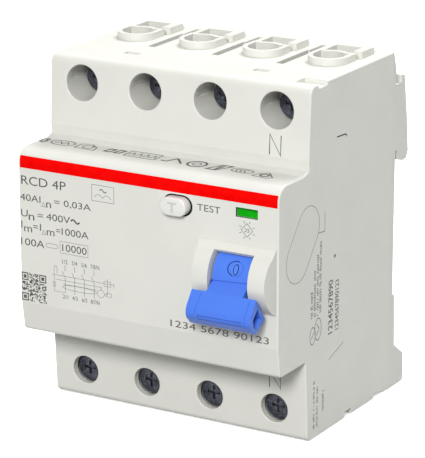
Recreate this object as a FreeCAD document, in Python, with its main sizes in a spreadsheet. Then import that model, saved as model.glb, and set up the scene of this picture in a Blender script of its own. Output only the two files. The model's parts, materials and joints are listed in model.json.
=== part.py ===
import FreeCAD, Part
import math
import os
import re
from FreeCAD import Vector, Placement, Rotation

# Four-pole residual current device for a 35 mm rail.
# Row frame: X right, Y back (the front panel faces -Y), Z up.
# Origin: centre of the rail seat, Y = 0 on the seat plane, Z = 0 at the rail's centre line.
# Lengths in millimetres.

doc = FreeCAD.newDocument("ResidualCurrentDevice")
sheet = doc.addObject("Spreadsheet::Sheet", "Sizes")
V = {}


def size(alias, value, note=""):
    n = str(len(V) + 1)
    sheet.set("A" + n, alias)
    sheet.set("B" + n, repr(float(value)))
    sheet.setAlias("B" + n, alias)
    if note:
        sheet.set("C" + n, note)
    V[alias] = float(value)


def sizes(table):
    for alias, value in table.items():
        size(alias, value)


def ex(text):
    """Expression text with every known word turned into a sheet cell."""
    if isinstance(text, (int, float)):
        return repr(float(text))
    return re.sub(r"[a-z][a-z_0-9]*", lambda m: "Sizes." + m.group(0) if m.group(0) in V else m.group(0), text)


def place(obj, x, y, z):
    for axis, value in (("x", x), ("y", y), ("z", z)):
        obj.setExpression(".Placement.Base." + axis, ex(value))


def box(name, x0, x1, y0, y1, z0, z1):
    o = doc.addObject("Part::Box", name)
    o.setExpression("Length", "(%s) - (%s)" % (ex(x1), ex(x0)))
    o.setExpression("Width", "(%s) - (%s)" % (ex(y1), ex(y0)))
    o.setExpression("Height", "(%s) - (%s)" % (ex(z1), ex(z0)))
    place(o, x0, y0, z0)
    return o


def cyl(name, axis, r, x, y, z, length):
    """Cylinder from (x, y, z) along +axis."""
    o = doc.addObject("Part::Cylinder", name)
    o.setExpression("Radius", ex(r))
    o.setExpression("Height", ex(length))
    if axis == "x":
        o.Placement = Placement(Vector(0, 0, 0), Rotation(Vector(0, 1, 0), 90))
    elif axis == "y":
        o.Placement = Placement(Vector(0, 0, 0), Rotation(Vector(1, 0, 0), -90))
    place(o, x, y, z)
    return o


def fuse(name, objs):
    if len(objs) == 1:
        return objs[0]
    o = doc.addObject("Part::MultiFuse", name)
    o.Shapes = objs
    return o


def cut(name, base, tools):
    o = doc.addObject("Part::Cut", name)
    o.Base = base
    o.Tool = tools if not isinstance(tools, list) else fuse(name + "_tools", tools)
    return o


def common(name, a, b):
    o = doc.addObject("Part::Common", name)
    o.Base = a
    o.Tool = b
    return o


def group(name, objs):
    """Several identical separate solids in one node."""
    o = doc.addObject("Part::Compound", name)
    o.Links = objs
    return o


def prism(name, plane, pts, a0, a1, fillets=()):
    """PartDesign body: a polygon on an origin plane, padded from a0 to a1 along the plane's axis.
    plane YZ: points (y, z), along +X.  plane XY: points (x, y), along +Z.
    plane XZ: points (x, z), along -Y, so a0 and a1 are -Y values."""
    u, w = {"YZ": "yz", "XY": "xy", "XZ": "xz"}[plane]
    exprs = []
    for i, (p, q) in enumerate(pts):
        pair = []
        for letter, value in ((u, p), (w, q)):
            if isinstance(value, str):
                pair.append(ex(value))
            else:
                alias = "%s_%s%d" % (name, letter, i + 1)
                alias = alias.lower()
                size(alias, value)
                pair.append("Sizes." + alias)
        exprs.append(pair)
    nums = [[float(a) if not isinstance(a, str) else 0.0 for a in p] for p in pts]
    body = doc.addObject("PartDesign::Body", name + "_body")
    sk = body.newObject("Sketcher::SketchObject", name + "_sketch")
    for f in body.Origin.OriginFeatures:
        if f.Role == plane + "_Plane":
            sk.AttachmentSupport = [(f, "")]
    sk.MapMode = "FlatFace"
    sk.setExpression(".AttachmentOffset.Base.z", ex(a0))
    n = len(pts)
    for i in range(n):
        a, b = nums[i], nums[(i + 1) % n]
        sk.addGeometry(Part.LineSegment(Vector(a[0], a[1], 0), Vector(b[0], b[1], 0)), False)
    for i in range(n):
        sk.addConstraint(Sketcher_Coincident(i, (i + 1) % n))
    for i in range(n):
        for kind, value, expr in (("DistanceX", nums[i][0], exprs[i][0]), ("DistanceY", nums[i][1], exprs[i][1])):
            c = sk.addConstraint(Sketcher_Distance(kind, i, value))
            sk.setExpression("Constraints[%d]" % c, expr)
    pad = body.newObject("PartDesign::Pad", name + "_pad")
    pad.Profile = sk
    pad.setExpression("Length", "(%s) - (%s)" % (ex(a1), ex(a0)))
    tip = pad
    if fillets:
        doc.recompute()
        for k, (index_list, radius) in enumerate(fillets):
            names = []
            for j, e in enumerate(tip.Shape.Edges):
                if len(e.Vertexes) != 2:
                    continue
                ok = False
                for i in index_list:
                    hits = 0
                    for vtx in e.Vertexes:
                        p = vtx.Point
                        q = {"YZ": (p.y, p.z), "XY": (p.x, p.y), "XZ": (p.x, p.z)}[plane]
                        if abs(q[0] - nums[i][0]) < 0.02 and abs(q[1] - nums[i][1]) < 0.02:
                            hits += 1
                    ok = ok or hits == 2
                if ok:
                    names.append("Edge%d" % (j + 1))
            if len(names) != len(index_list):
                raise RuntimeError("%s: fillet found %d edges of %d" % (name, len(names), len(index_list)))
            fl = body.newObject("PartDesign::Fillet", "%s_fillet%d" % (name, k + 1))
            fl.Base = (tip, names)
            fl.setExpression("Radius", ex(radius))
            doc.recompute()
            tip = fl
    body.Tip = tip
    return body


import Sketcher


def Sketcher_Coincident(i, j):
    return Sketcher.Constraint("Coincident", i, 2, j, 1)


def Sketcher_Distance(kind, i, value):
    return Sketcher.Constraint(kind, -1, 1, i, 1, value)


def coil(name, axis, r_in, r_out, a0, a1, turns, x, y, z):
    """Close-wound spring: a ridged tube made by turning a zigzag profile."""
    step = (a1 - a0) / turns
    outer, inner = [], []
    for i in range(turns):
        s0 = a0 + i * step
        outer += [(r_out - 0.35 * (r_out - r_in), s0), (r_out, s0 + step / 2)]
        inner += [(r_in + 0.35 * (r_out - r_in), s0), (r_in, s0 + step / 2)]
    outer.append((r_out - 0.35 * (r_out - r_in), a1))
    inner.append((r_in + 0.35 * (r_out - r_in), a1))
    pts = [Vector(r, 0, s) for r, s in outer] + [Vector(r, 0, s) for r, s in reversed(inner)]
    pts.append(pts[0])
    shape = Part.Face(Part.makePolygon(pts)).revolve(Vector(0, 0, 0), Vector(0, 0, 1), 360)
    if axis == "x":
        rot = Rotation(Vector(0, 1, 0), 90)
    elif axis == "y":
        rot = Rotation(Vector(1, 0, 0), -90)
    else:
        rot = Rotation()
    o = doc.addObject("Part::Feature", name)
    o.Shape = shape
    o.Placement = Placement(Vector(x, y, z), rot)
    return o


def rounded_wire(points, radius):
    """Straight runs joined by tangent arcs."""
    edges = []
    last = Vector(*points[0])
    for i in range(1, len(points) - 1):
        p0, p1, p2 = Vector(*points[i - 1]), Vector(*points[i]), Vector(*points[i + 1])
        d1 = (p1 - p0).normalize()
        d2 = (p2 - p1).normalize()
        turn = d1.getAngle(d2)
        t = radius * math.tan(turn / 2)
        t = min(t, 0.47 * (p1 - p0).Length, 0.47 * (p2 - p1).Length)
        r = t / math.tan(turn / 2)
        a = p1 - d1 * t
        b = p1 + d2 * t
        bis = (d2 - d1).normalize()
        centre = p1 + bis * (r / math.cos(turn / 2))
        mid = centre - bis * r
        edges.append(Part.LineSegment(last, a).toShape())
        edges.append(Part.Arc(a, mid, b).toShape())
        last = b
    edges.append(Part.LineSegment(last, Vector(*points[-1])).toShape())
    return Part.Wire(edges)


def tube(name, points, radius, r):
    path = rounded_wire(points, radius)
    start = Vector(*points[0])
    d = (Vector(*points[1]) - start).normalize()
    profile = Part.Wire([Part.Circle(start, d, r).toShape()])
    solid = path.makePipeShell([profile], True, False)
    want = math.pi * r * r * path.Length
    if abs(solid.Volume - want) > 0.03 * want:
        raise RuntimeError("%s: tube volume %.2f, expected %.2f" % (name, solid.Volume, want))
    o = doc.addObject("Part::Feature", name)
    o.Shape = solid
    o.Placement = Placement()
    return o


def soften(name, base, radius, pick, count=None):
    """Small fillet on the picked edges."""
    doc.recompute()
    chosen = [i + 1 for i, e in enumerate(base.Shape.Edges) if pick(e.BoundBox)]
    if not chosen or (count is not None and len(chosen) != count):
        raise RuntimeError("%s: picked %d edges" % (name, len(chosen)))
    o = doc.addObject("Part::Fillet", name)
    o.Base = base
    o.Edges = [(i, radius, radius) for i in chosen]
    doc.recompute()
    if o.Shape.isNull() or not o.Shape.isValid():
        raise RuntimeError("%s: fillet failed" % name)
    return o


NODES = {}


def node(label, obj):
    obj.Label = label
    NODES[label] = obj
    return obj


# ---------------------------------------------------------------- driving sizes
size("half_width", 35.0, "70 mm overall, four modules of 17.5")
size("pole_pitch", 17.5)
size("body_top", 42.5, "85 mm high case")
size("body_bottom", -42.5)
size("front_face", -57.7, "flat nose front")
size("seam", -1.8, "plane where cover meets base")
size("wall_inside", 33.2, "inner face of the side walls")
size("upper_row", 36.2, "height of the upper terminal screws")
size("lower_row", -35.5)
size("row_shift", -5.3, "lower terminals sit this far forward of the upper ones")
size("axle_y", -54.5)
size("axle_z", 0.1)
size("cowl_left", 14.5)
size("cowl_right", 34.5)
size("cowl_r", 8.0)
size("open_left", 19.2)
size("open_right", 29.6)
size("drum_r", 6.5)
size("drum_gap", 0.5)
size("axle_r", 1.2)

POLES = {1: "-1.5*pole_pitch", 2: "-0.5*pole_pitch", 3: "0.5*pole_pitch", 4: "1.5*pole_pitch"}
PX = {1: -26.25, 2: -8.75, 3: 8.75, 4: 26.25}

# ---------------------------------------------------------------- front cover
cover_pts = [(-1.8, 42.5), (-43.0, 42.5), (-43.9, 25.5), (-43.65, 23.2), (-46.2, 22.5), (-57.7, 22.6),
             (-57.7, -15.24), (-56.6, -22.5), (-44.3, -22.5), (-43.1, -42.5),
             (-9.4, -42.5), (-9.4, -41.7), (-7.6, -41.7), (-3.4, -42.5), (-1.8, -42.5)]
sizes({"r_nose_top": 3.4, "r_shoulder_top": 2.0, "r_nose_low": 1.0, "r_foot_front": 1.5})
outer = prism("cover_outer", "YZ", cover_pts, "-half_width", "half_width",
              fillets=[([5], "r_nose_top"), ([1], "r_shoulder_top"), ([7], "r_nose_low"), ([9], "r_foot_front")])
inner_pts = [(-1.0, 40.5), (-31.0, 40.5), (-31.0, 29.7), (-41.9, 29.7), (-42.1, 19.6), (-55.7, 20.6),
             (-55.7, -20.5), (-42.3, -20.5), (-41.4, -29.4), (-36.3, -29.4), (-36.3, -40.5), (-1.0, -40.5)]
inner = prism("cover_inner", "YZ", inner_pts, "-wall_inside", "wall_inside")

add, cutters = [], []
sizes({"rim_low": 42.2, "rim_top": 44.2, "d_r": 5.0, "d_hole_r": 3.85, "d_centre": -18.1, "d_back": -13.9,
       "d_hole_back": -15.0, "bar_half": 3.3, "bar_front": -12.6, "bar_back": -7.7, "chamber_half": 6.7})
for p, xc in POLES.items():
    s = str(p)
    # collar round the cable entry, and the bracket rim and lug round the busbar slot behind it
    add.append(box("collar_box" + s, xc + "-d_r", xc + "+d_r", "d_centre", "d_back", "rim_low", "rim_top"))
    add.append(cyl("collar_arc" + s, "z", "d_r", xc, "d_centre", "rim_low", "rim_top-rim_low"))
    add.append(box("bracket_left" + s, xc + "-bar_half-0.85", xc + "-bar_half", "d_back-0.3", "bar_back+0.85", "rim_low", "rim_top"))
    add.append(box("bracket_back" + s, xc + "-bar_half-0.85", xc + "+bar_half+1", "bar_back", "bar_back+0.85", "rim_low", "rim_top"))
    add.append(box("bracket_lug" + s, xc + "+bar_half", xc + "+bar_half+2.2", "bar_front+0.6", "bar_back+2", "rim_low", "rim_top"))
    # entries through the top wall
    cutters.append(box("entry_box" + s, xc + "-d_hole_r", xc + "+d_hole_r", "d_centre", "d_hole_back", 39, 46))
    cutters.append(cyl("entry_arc" + s, "z", "d_hole_r", xc, "d_centre", 39, 7))
    cutters.append(box("bar_entry" + s, xc + "-bar_half", xc + "+bar_half", "bar_front", "bar_back", 39, 46))
    # the same entries through the bottom wall, further forward
    cutters.append(box("low_entry_box" + s, xc + "-d_hole_r", xc + "+d_hole_r", "d_centre+row_shift", "d_hole_back+row_shift", -44, -39.5))
    cutters.append(cyl("low_entry_arc" + s, "z", "d_hole_r", xc, "d_centre+row_shift", -44, 4.5))
    cutters.append(box("low_bar_entry" + s, xc + "-bar_half", xc + "+bar_half", "bar_front+row_shift", "bar_back+row_shift", -44, -39.5))
sizes({"up_hole_r": 4.35, "low_hole_r": 3.55, "throat_r": 2.8, "lead_up": -41.7, "lead_low": -41.6,
       "web_up": -32.6, "web_low": -37.9})
for p, xc in POLES.items():
    s = str(p)
    # screwdriver access: lead-in through the shoulder, head chamber, throat through the web
    cutters.append(cyl("access_up" + s, "y", "up_hole_r", xc, -46, "upper_row", 6))
    cutters.append(cyl("access_low" + s, "y", "low_hole_r", xc, -46, "lower_row", 6))
    guide = cut("guide_ring" + s, cyl("guide_out" + s, "y", "up_hole_r+0.9", xc, "lead_up-1", "upper_row", "web_up-lead_up+2"),
                [cyl("guide_in" + s, "y", "up_hole_r", xc, "lead_up-2", "upper_row", "web_up-lead_up+4"),
                 common("guide_step" + s, cyl("guide_step_r" + s, "y", "up_hole_r+0.28", xc, "lead_up+0.5", "upper_row", "web_up-lead_up-1.2"),
                        box("guide_step_q" + s, xc + "-6", xc, "lead_up+0.5", "web_up-0.7", "upper_row", "upper_row+6"))])
    cutters.append(cut("head_room_up" + s, box("head_room_up_box" + s, xc + "-chamber_half", xc + "+chamber_half", "lead_up", "web_up", 30.9, 40.5), [guide]))
    cutters.append(cyl("guide_bore" + s, "y", "up_hole_r", xc, "lead_up-1", "upper_row", "web_up-lead_up+1"))
    cutters.append(box("head_room_low" + s, xc + "-chamber_half", xc + "+chamber_half", "lead_low", "web_low", -40.5, -30.6))
    cutters.append(cyl("throat_up" + s, "y", "throat_r", xc, "web_up-1", "upper_row", 4))
    cutters.append(cyl("throat_low" + s, "y", "throat_r", xc, "web_low-1", "lower_row", 4))
# walls between the terminal chambers; the upper ones are hollowed from above by the barrier slots
for i, xb in enumerate(("-pole_pitch", "0", "pole_pitch")):
    s = str(i + 1)
    add.append(box("rib_up" + s, xb + "-2.2", xb + "+1.4", -31.5, -5.0, 30.9, 41.0))
    add.append(box("rib_low" + s, xb + "-0.8", xb + "+0.8", -37.0, -5.0, -41.0, -30.6))
    cutters.append(box("barrier_slot" + s, xb + "-1.4", xb + "+0.6", -25.6, -9.5, 35.0, 46))
    cutters.append(box("barrier_slot_b" + s, xb + "-0.9", xb + "+0.3", -9.7, -5.9, 35.0, 46))
    cutters.append(box("barrier_slot_c" + s, xb + "-0.9", xb + "+0.3", -6.5, -3.0, 41.2, 46))
for i, xb in enumerate(("-pole_pitch", "pole_pitch")):
    cutters.append(box("top_notch%d" % (i + 1), xb + "-2.5", xb + "+1.4", -34.9, -32.6, 41.3, 46))
# shallow step in the top, open to the right side
cutters.append(box("corner_step", 29.0, "half_width+1", -39.7, -35.1, 41.5, 46))
# small notches under both side walls
cutters.append(box("low_notch_r", 32.0, "half_width+1", -24.8, -21.0, -44, -41.0))
cutters.append(box("low_notch_l", "-half_width-1", -32.0, -24.8, -21.0, -44, -41.0))

# toggle cowl: a slice of a cylinder standing out of the nose, with a small ledge along its top
cowl_round = cyl("cowl_round", "x", "cowl_r", "cowl_left", "axle_y", "axle_z", "cowl_right-cowl_left")
cowl_slice = common("cowl_slice", cowl_round, box("cowl_zone", "cowl_left-1", "cowl_right+1", -64, -56.5, -10, 10))
cowl_ledge = prism("cowl_ledge", "YZ", [(-56.6, 8.2), (-58.0, 8.2), (-59.2, 6.6), (-59.2, 6.0), (-56.6, 6.0)], "cowl_left", "cowl_right")
add += [cowl_slice, cowl_ledge]
add.append(box("axle_boss_l", 16.9, "open_left", -56.5, -52.5, "axle_z-2.7", "axle_z+2.7"))
add.append(box("axle_boss_r", "open_right", 31.9, -56.5, -52.5, "axle_z-2.7", "axle_z+2.7"))
cutters.append(prism("cowl_draft_l", "XY", [(14.5, -57.7), (15.15, -63.2), (13.5, -63.2), (13.5, -57.7)], -12, 12))
cutters.append(prism("cowl_draft_r", "XY", [(34.5, -57.7), (35.5, -57.7), (35.5, -63.2), (33.85, -63.2)], -12, 12))
cutters.append(prism("toggle_window", "YZ", [(-66.0, 6.7), (-59.3, 6.7), (-57.7, 5.1), (-53.0, 5.1), (-53.0, -4.8), (-57.7, -4.8),
                                             (-59.0, -6.9), (-66.0, -6.9)], "open_left", "open_right"))
cutters.append(cyl("drum_room", "x", "drum_r+drum_gap", "open_left", "axle_y", "axle_z", "open_right-open_left"))
cutters.append(cyl("axle_hole", "x", "axle_r", 17.3, "axle_y", "axle_z", 14.2))

# test button opening, indicator window and the guides behind it, stripe recess, side knock-out recess
sizes({"btn_x": 8.7, "btn_z": 15.0, "btn_half": 3.9, "btn_r": 2.5, "win_x0": 23.9, "win_x1": 29.6, "win_z0": 14.55, "win_z1": 16.8})
cutters.append(box("btn_hole", "btn_x-(btn_half-btn_r)", "btn_x+(btn_half-btn_r)", -59, -55, "btn_z-btn_r", "btn_z+btn_r"))
cutters.append(cyl("btn_hole_l", "y", "btn_r", "btn_x-(btn_half-btn_r)", -59, "btn_z", 4))
cutters.append(cyl("btn_hole_r", "y", "btn_r", "btn_x+(btn_half-btn_r)", -59, "btn_z", 4))
cutters.append(box("win_hole", "win_x0", "win_x1", -59, -55, "win_z0", "win_z1"))
cutters.append(box("flag_room", 22.9, 30.6, -56.8, -55.0, 11.0, 20.5))
cutters.append(box("flag_stem_room", 25.3, 28.2, -56.8, -55.0, 7.4, 11.2))
sizes({"stripe_z0": 17.9, "stripe_z1": 20.8, "stripe_deep": 0.4})
# the band follows the rounded top edge of the nose: its bed is the same profile set back by the band's depth
nose_bed = prism("nose_bed", "YZ", [(-50.0, 10.0), (-50.0, 22.18), (-57.3, 22.18), (-57.3, 10.0)],
                 "-half_width-1", "half_width+1", fillets=[([2], "r_nose_top-stripe_deep")])
cutters.append(cut("stripe_recess", box("stripe_recess_box", "-half_width+0.4", "half_width-0.4", -59, -55.5, "stripe_z0", "stripe_z1"), [nose_bed]))
sizes({"plug_y": -46.3, "plug_z": 6.6, "plug_half": 4.0, "plug_r": 5.4, "plug_tilt": 51.0, "plug_gap": 0.12})


def stadium_x(name, grow, x0, x1):
    """Slanted stadium in the YZ plane, from x0 to x1."""
    u = (math.cos(math.radians(V["plug_tilt"])), math.sin(math.radians(V["plug_tilt"])))
    bar = doc.addObject("Part::Box", name + "_bar")
    bar.setExpression("Length", "(%s) - (%s)" % (ex(x1), ex(x0)))
    bar.setExpression("Width", ex("2*plug_half"))
    bar.setExpression("Height", ex("2*(plug_r+(%s))" % grow))
    rot = Rotation(Vector(1, 0, 0), V["plug_tilt"])
    corner = rot.multVec(Vector(0, -V["plug_half"], -(V["plug_r"] + float(grow))))
    bar.Placement = Placement(Vector(float(V.get(x0, 0.0)) if isinstance(x0, str) else x0, 0, 0), rot)
    place(bar, x0, "plug_y+%f" % corner.y, "plug_z+%f" % corner.z)
    ends = []
    for sign, tag in ((1, "a"), (-1, "b")):
        ends.append(cyl(name + "_end" + tag, "x", "plug_r+(%s)" % grow, x0,
                        "plug_y+%f*plug_half" % (sign * u[0]), "plug_z+%f*plug_half" % (sign * u[1]), "(%s)-(%s)" % (x1, x0)))
    return fuse(name, [bar] + ends)


cutters.append(stadium_x("plug_recess", "0", "half_width-1.0", "half_width+1"))

# the long side edges are slightly rounded, except along the seam with the base
outer_soft = soften("cover_outer_soft", outer, 0.4, lambda b: b.XLength < 0.001 and abs(abs(b.XMin) - 35.0) < 0.001 and b.YMin < -1.81)
shell = cut("cover_shell", outer_soft, inner)
cover_plus = fuse("cover_plus", [shell] + add)
boss_add, boss_cut = [], []
for sx, sz in ((31.0, 12.0), (31.0, -14.0), (-31.0, 12.0), (-31.0, -14.0)):
    tag = "%s%s" % ("r" if sx > 0 else "l", "u" if sz > 0 else "d")
    boss_add.append(box("case_boss_" + tag, min(sx, math.copysign(33.6, sx)) - (2.0 if sx > 0 else 0), max(sx, math.copysign(33.6, sx)) + (0 if sx > 0 else 2.0), -7.0, "seam-0.1", sz - 2.1, sz + 2.1))
    boss_cut.append(cyl("boss_hole_" + tag, "y", 1.1, sx, -6.6, sz, 6))
cover_bossed = fuse("cover_bossed", [cover_plus] + boss_add)
cover_cut = cut("front_cover_cut", cover_bossed, cutters + boss_cut)


def hole_mouth(b):
    """Rim of a screwdriver hole on the outer face of the shoulder or the foot."""
    for r, z in ((V["up_hole_r"], V["upper_row"]), (V["low_hole_r"], V["lower_row"])):
        if abs(b.XLength - 2 * r) < 0.05 and abs(b.ZLength - 2 * r) < 0.05 and abs((b.ZMin + b.ZMax) / 2 - z) < 0.05 and b.YMax < -42.5:
            return True
    return False


node("front_cover", soften("front_cover_shape", cover_cut, 0.25, hole_mouth, 8))

nose_skin = prism("nose_skin", "YZ", [(-50.0, 10.0), (-50.0, 22.57), (-57.69, 22.57), (-57.69, 10.0)],
                  "-half_width+0.42", "half_width-0.42", fillets=[([2], "r_nose_top")])
nose_bed_copy = prism("nose_bed_copy", "YZ", [(-49.0, 9.0), (-49.0, 22.18), (-57.3, 22.18), (-57.3, 9.0)],
                      "-half_width-1", "half_width+1", fillets=[([2], "r_nose_top-stripe_deep")])
node("front_stripe", cut("front_stripe_shape", common("stripe_slice", nose_skin, box("stripe_band", "-half_width", "half_width", -59, -55.5, "stripe_z0+0.02", "stripe_z1-0.02")), [nose_bed_copy]))
node("side_knockout_plug", stadium_x("side_plug", "-0.12", "half_width-1.0", "half_width-0.01"))
node("indicator_window", box("window_shape", "win_x0+0.03", "win_x1-0.03", "front_face+0.05", -56.8, "win_z0+0.03", "win_z1-0.03"))

# ---------------------------------------------------------------- rear base
base_pts = [(-1.8, 42.5), (-1.5, 42.4), (-0.45, 39.1), (-0.1, 36.4), (-0.1, 34.2), (2.8, 34.2), (2.8, 36.0), (4.4, 35.9),
            (6.0, 25.8), (7.0, 16.6), (6.2, 14.8), (4.1, 14.6), (1.3, 15.4), (1.3, 17.8), (0.0, 17.8), (0.0, -18.3),
            (1.14, -19.0), (1.58, -31.9), (6.5, -35.4), (6.6, -42.5), (-1.8, -42.5)]
base = prism("base_outer", "YZ", base_pts, "-half_width", "half_width")
base_add, base_cut = [], []
# locating rim that enters the cover
rim = cut("rim_ring", box("rim_out", -33.0, 33.0, -3.6, -1.7, -40.3, 40.3), box("rim_in", -31.6, 31.6, -4, -1, -38.9, 38.9))
rim = cut("rim_ring_gaps", rim, [box("rim_gap_%d" % i, -34, 34, -4, -1.75, z - 2.6, z + 2.6) for i, z in enumerate((12.0, -14.0))]
          + [box("rim_gap_rib_u%d" % i, x - 2.8, x + 2.0, -6, -1.75, 38, 41) for i, x in enumerate((-17.5, 0.0, 17.5))])
base_add.append(rim)
base_cut.append(box("hook_core_l", -33.0, -12.0, -2.0, 3.4, 20.0, 32.2))
base_cut.append(box("hook_core_m", -10.5, 10.5, -2.0, 3.4, 20.0, 32.2))
base_cut.append(box("hook_core_r", 12.0, 33.0, -2.0, 3.4, 20.0, 32.2))
base_cut.append(box("foot_core_l", -33.0, -13.5, -2.0, 4.6, -41.0, -36.6))
base_cut.append(box("foot_core_r", 13.5, 33.0, -2.0, 4.6, -41.0, -36.6))
# channel and guides for the rail clip, and the block its spring pushes from
sizes({"clip_half": 10.0, "clip_y0": 1.95, "clip_y1": 4.3, "clip_gap": 0.3})
base_cut.append(box("clip_channel", "-clip_half-clip_gap", "clip_half+clip_gap", "clip_y0-clip_gap", "clip_y1+clip_gap", -44, -30))
base_cut.append(box("clip_nose_room", "-clip_half-clip_gap", "clip_half+clip_gap", 0.75, 8, -24.6, -18.6))
base_cut.append(box("clip_spring_channel", -2.3, 2.3, 1.5, 5.0, -30.9, -19.0))
for sgn, tag in ((1, "r"), (-1, "l")):
    a, b = sorted((sgn * 10.35, sgn * 12.4))
    base_add.append(box("guide_wall_" + tag, a, b, 0.8, 5.6, -31.5, -20.5))
    a, b = sorted((sgn * 8.6, sgn * 12.4))
    base_add.append(box("guide_lip_" + tag, a, b, 4.65, 5.6, -31.5, -20.5))
base_add.append(box("spring_block", -2.1, 2.1, 1.2, 4.4, -33.2, -31.0))
base_mid = fuse("base_plus", [cut("base_cored", base, base_cut)] + base_add)
screw_holes = []
for sx, sz in ((31.0, 12.0), (31.0, -14.0), (-31.0, 12.0), (-31.0, -14.0)):
    tag = "%s%s" % ("r" if sx > 0 else "l", "u" if sz > 0 else "d")
    screw_holes.append(cyl("base_hole_" + tag, "y", 1.3, sx, -4, sz, 5))
    screw_holes.append(cyl("base_sink_" + tag, "y", 2.4, sx, -1.1, sz, 2))
node("rear_base", cut("rear_base_shape", base_mid, screw_holes))
case_screws = []
for sx, sz in ((31.0, 12.0), (31.0, -14.0), (-31.0, 12.0), (-31.0, -14.0)):
    tag = "%s%s" % ("r" if sx > 0 else "l", "u" if sz > 0 else "d")
    body = fuse("case_screw_f" + tag, [cyl("case_screw_h" + tag, "y", 2.2, sx, -1.1, sz, 0.9),
                                       cyl("case_screw_s" + tag, "y", 1.05, sx, -6.3, sz, 5.4)])
    case_screws.append(cut("case_screw_" + tag, body, [box("cs_a" + tag, sx - 1.4, sx + 1.4, -0.7, 0.5, sz - 0.25, sz + 0.25),
                                                       box("cs_b" + tag, sx - 0.25, sx + 0.25, -0.7, 0.5, sz - 1.4, sz + 1.4)]))
node("case_screws", group("case_screws_group", case_screws))

# rail clip: flat slider with a nose behind the rail's lower lip, a spring window and a pull slot
clip_body = fuse("clip_plus", [box("clip_plate", "-clip_half", "clip_half", "clip_y0", "clip_y1", -42.3, -19.2),
                               prism("clip_nose", "YZ", [(4.3, -14.6), (2.6, -14.6), (1.15, -16.4), (1.15, -18.2), (1.95, -19.4), (4.3, -19.4)], "-clip_half", "clip_half")])
node("rail_clip", cut("rail_clip_shape", clip_body, [box("clip_window", -2.6, 2.6, 0, 6, -33.6, -21.0),
                                                     box("clip_pull_slot", -3.2, 3.2, 0, 6, -40.6, -38.4)]))
node("rail_clip_spring", coil("rail_clip_spring_shape", "z", 0.85, 1.3, -30.95, -21.05, 9, 0, 3.1, 0))

# ---------------------------------------------------------------- terminals
sizes({"cage_half": 5.0, "cage_win_half": 3.9, "cage_zhalf": 4.0, "cage_front": -26.4, "cage_win_front": -23.2,
       "cage_mid_front": -14.8, "cage_mid_back": -13.3, "cage_win_back": -7.3, "cage_back": -5.8,
       "screw_head_r": 3.25, "screw_r": 2.5, "cage_bore_r": 2.56, "screw_face": -36.0, "screw_under": -32.9, "screw_tip": -23.1,
       "drive_deep": 0.7, "drive_half": 1.75, "drive_slot": 0.36, "ring_deep": 0.16})
for row, zc, dy in (("upper", "upper_row", "0"), ("lower", "lower_row", "row_shift")):
    for p, xc in POLES.items():
        s = "%s%d" % (row, p)
        whole = box("cage_block_" + s, xc + "-cage_half", xc + "+cage_half", "cage_front+" + dy, "cage_back+" + dy, zc + "-cage_zhalf", zc + "+cage_zhalf")
        tools = [box("cage_win1_" + s, xc + "-cage_win_half", xc + "+cage_win_half", "cage_win_front+" + dy, "cage_mid_front+" + dy, zc + "-6", zc + "+6"),
                 box("cage_win2_" + s, xc + "-cage_win_half", xc + "+cage_win_half", "cage_mid_back+" + dy, "cage_win_back+" + dy, zc + "-6", zc + "+6"),
                 cyl("cage_bore_" + s, "y", "cage_bore_r", xc, "cage_front+%s-1" % dy, zc, 5)]
        node("%s_terminal_cage_%d" % (row, p), cut("cage_" + s, whole, tools))
        head = cyl("screw_head_" + s, "y", "screw_head_r", xc, "screw_face+" + dy, zc, "screw_under-screw_face")
        shank = cyl("screw_shank_" + s, "y", "screw_r", xc, "screw_under-0.2+" + dy, zc, "screw_tip-screw_under+0.2")
        drive = [box("drive_a_" + s, xc + "-drive_half", xc + "+drive_half", "screw_face-1+" + dy, "screw_face+drive_deep+" + dy, zc + "-drive_slot", zc + "+drive_slot"),
                 box("drive_b_" + s, xc + "-drive_slot", xc + "+drive_slot", "screw_face-1+" + dy, "screw_face+drive_deep+" + dy, zc + "-drive_half", zc + "+drive_half")]
        # turned rings in the face of the head
        for k, (ra, rb) in enumerate(((2.95, 2.65), (2.35, 2.05), (1.75, 1.45))):
            t = "%s_%d" % (s, k)
            drive.append(cut("ring_" + t, cyl("ring_out_" + t, "y", ra, xc, "screw_face-1+" + dy, zc, "1+ring_deep"), [cyl("ring_in_" + t, "y", rb, xc, "screw_face-2+" + dy, zc, 5)]))
        node("%s_terminal_screw_%d" % (row, p), cut("screw_" + s, fuse("screw_f_" + s, [head, shank]), drive))

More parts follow.
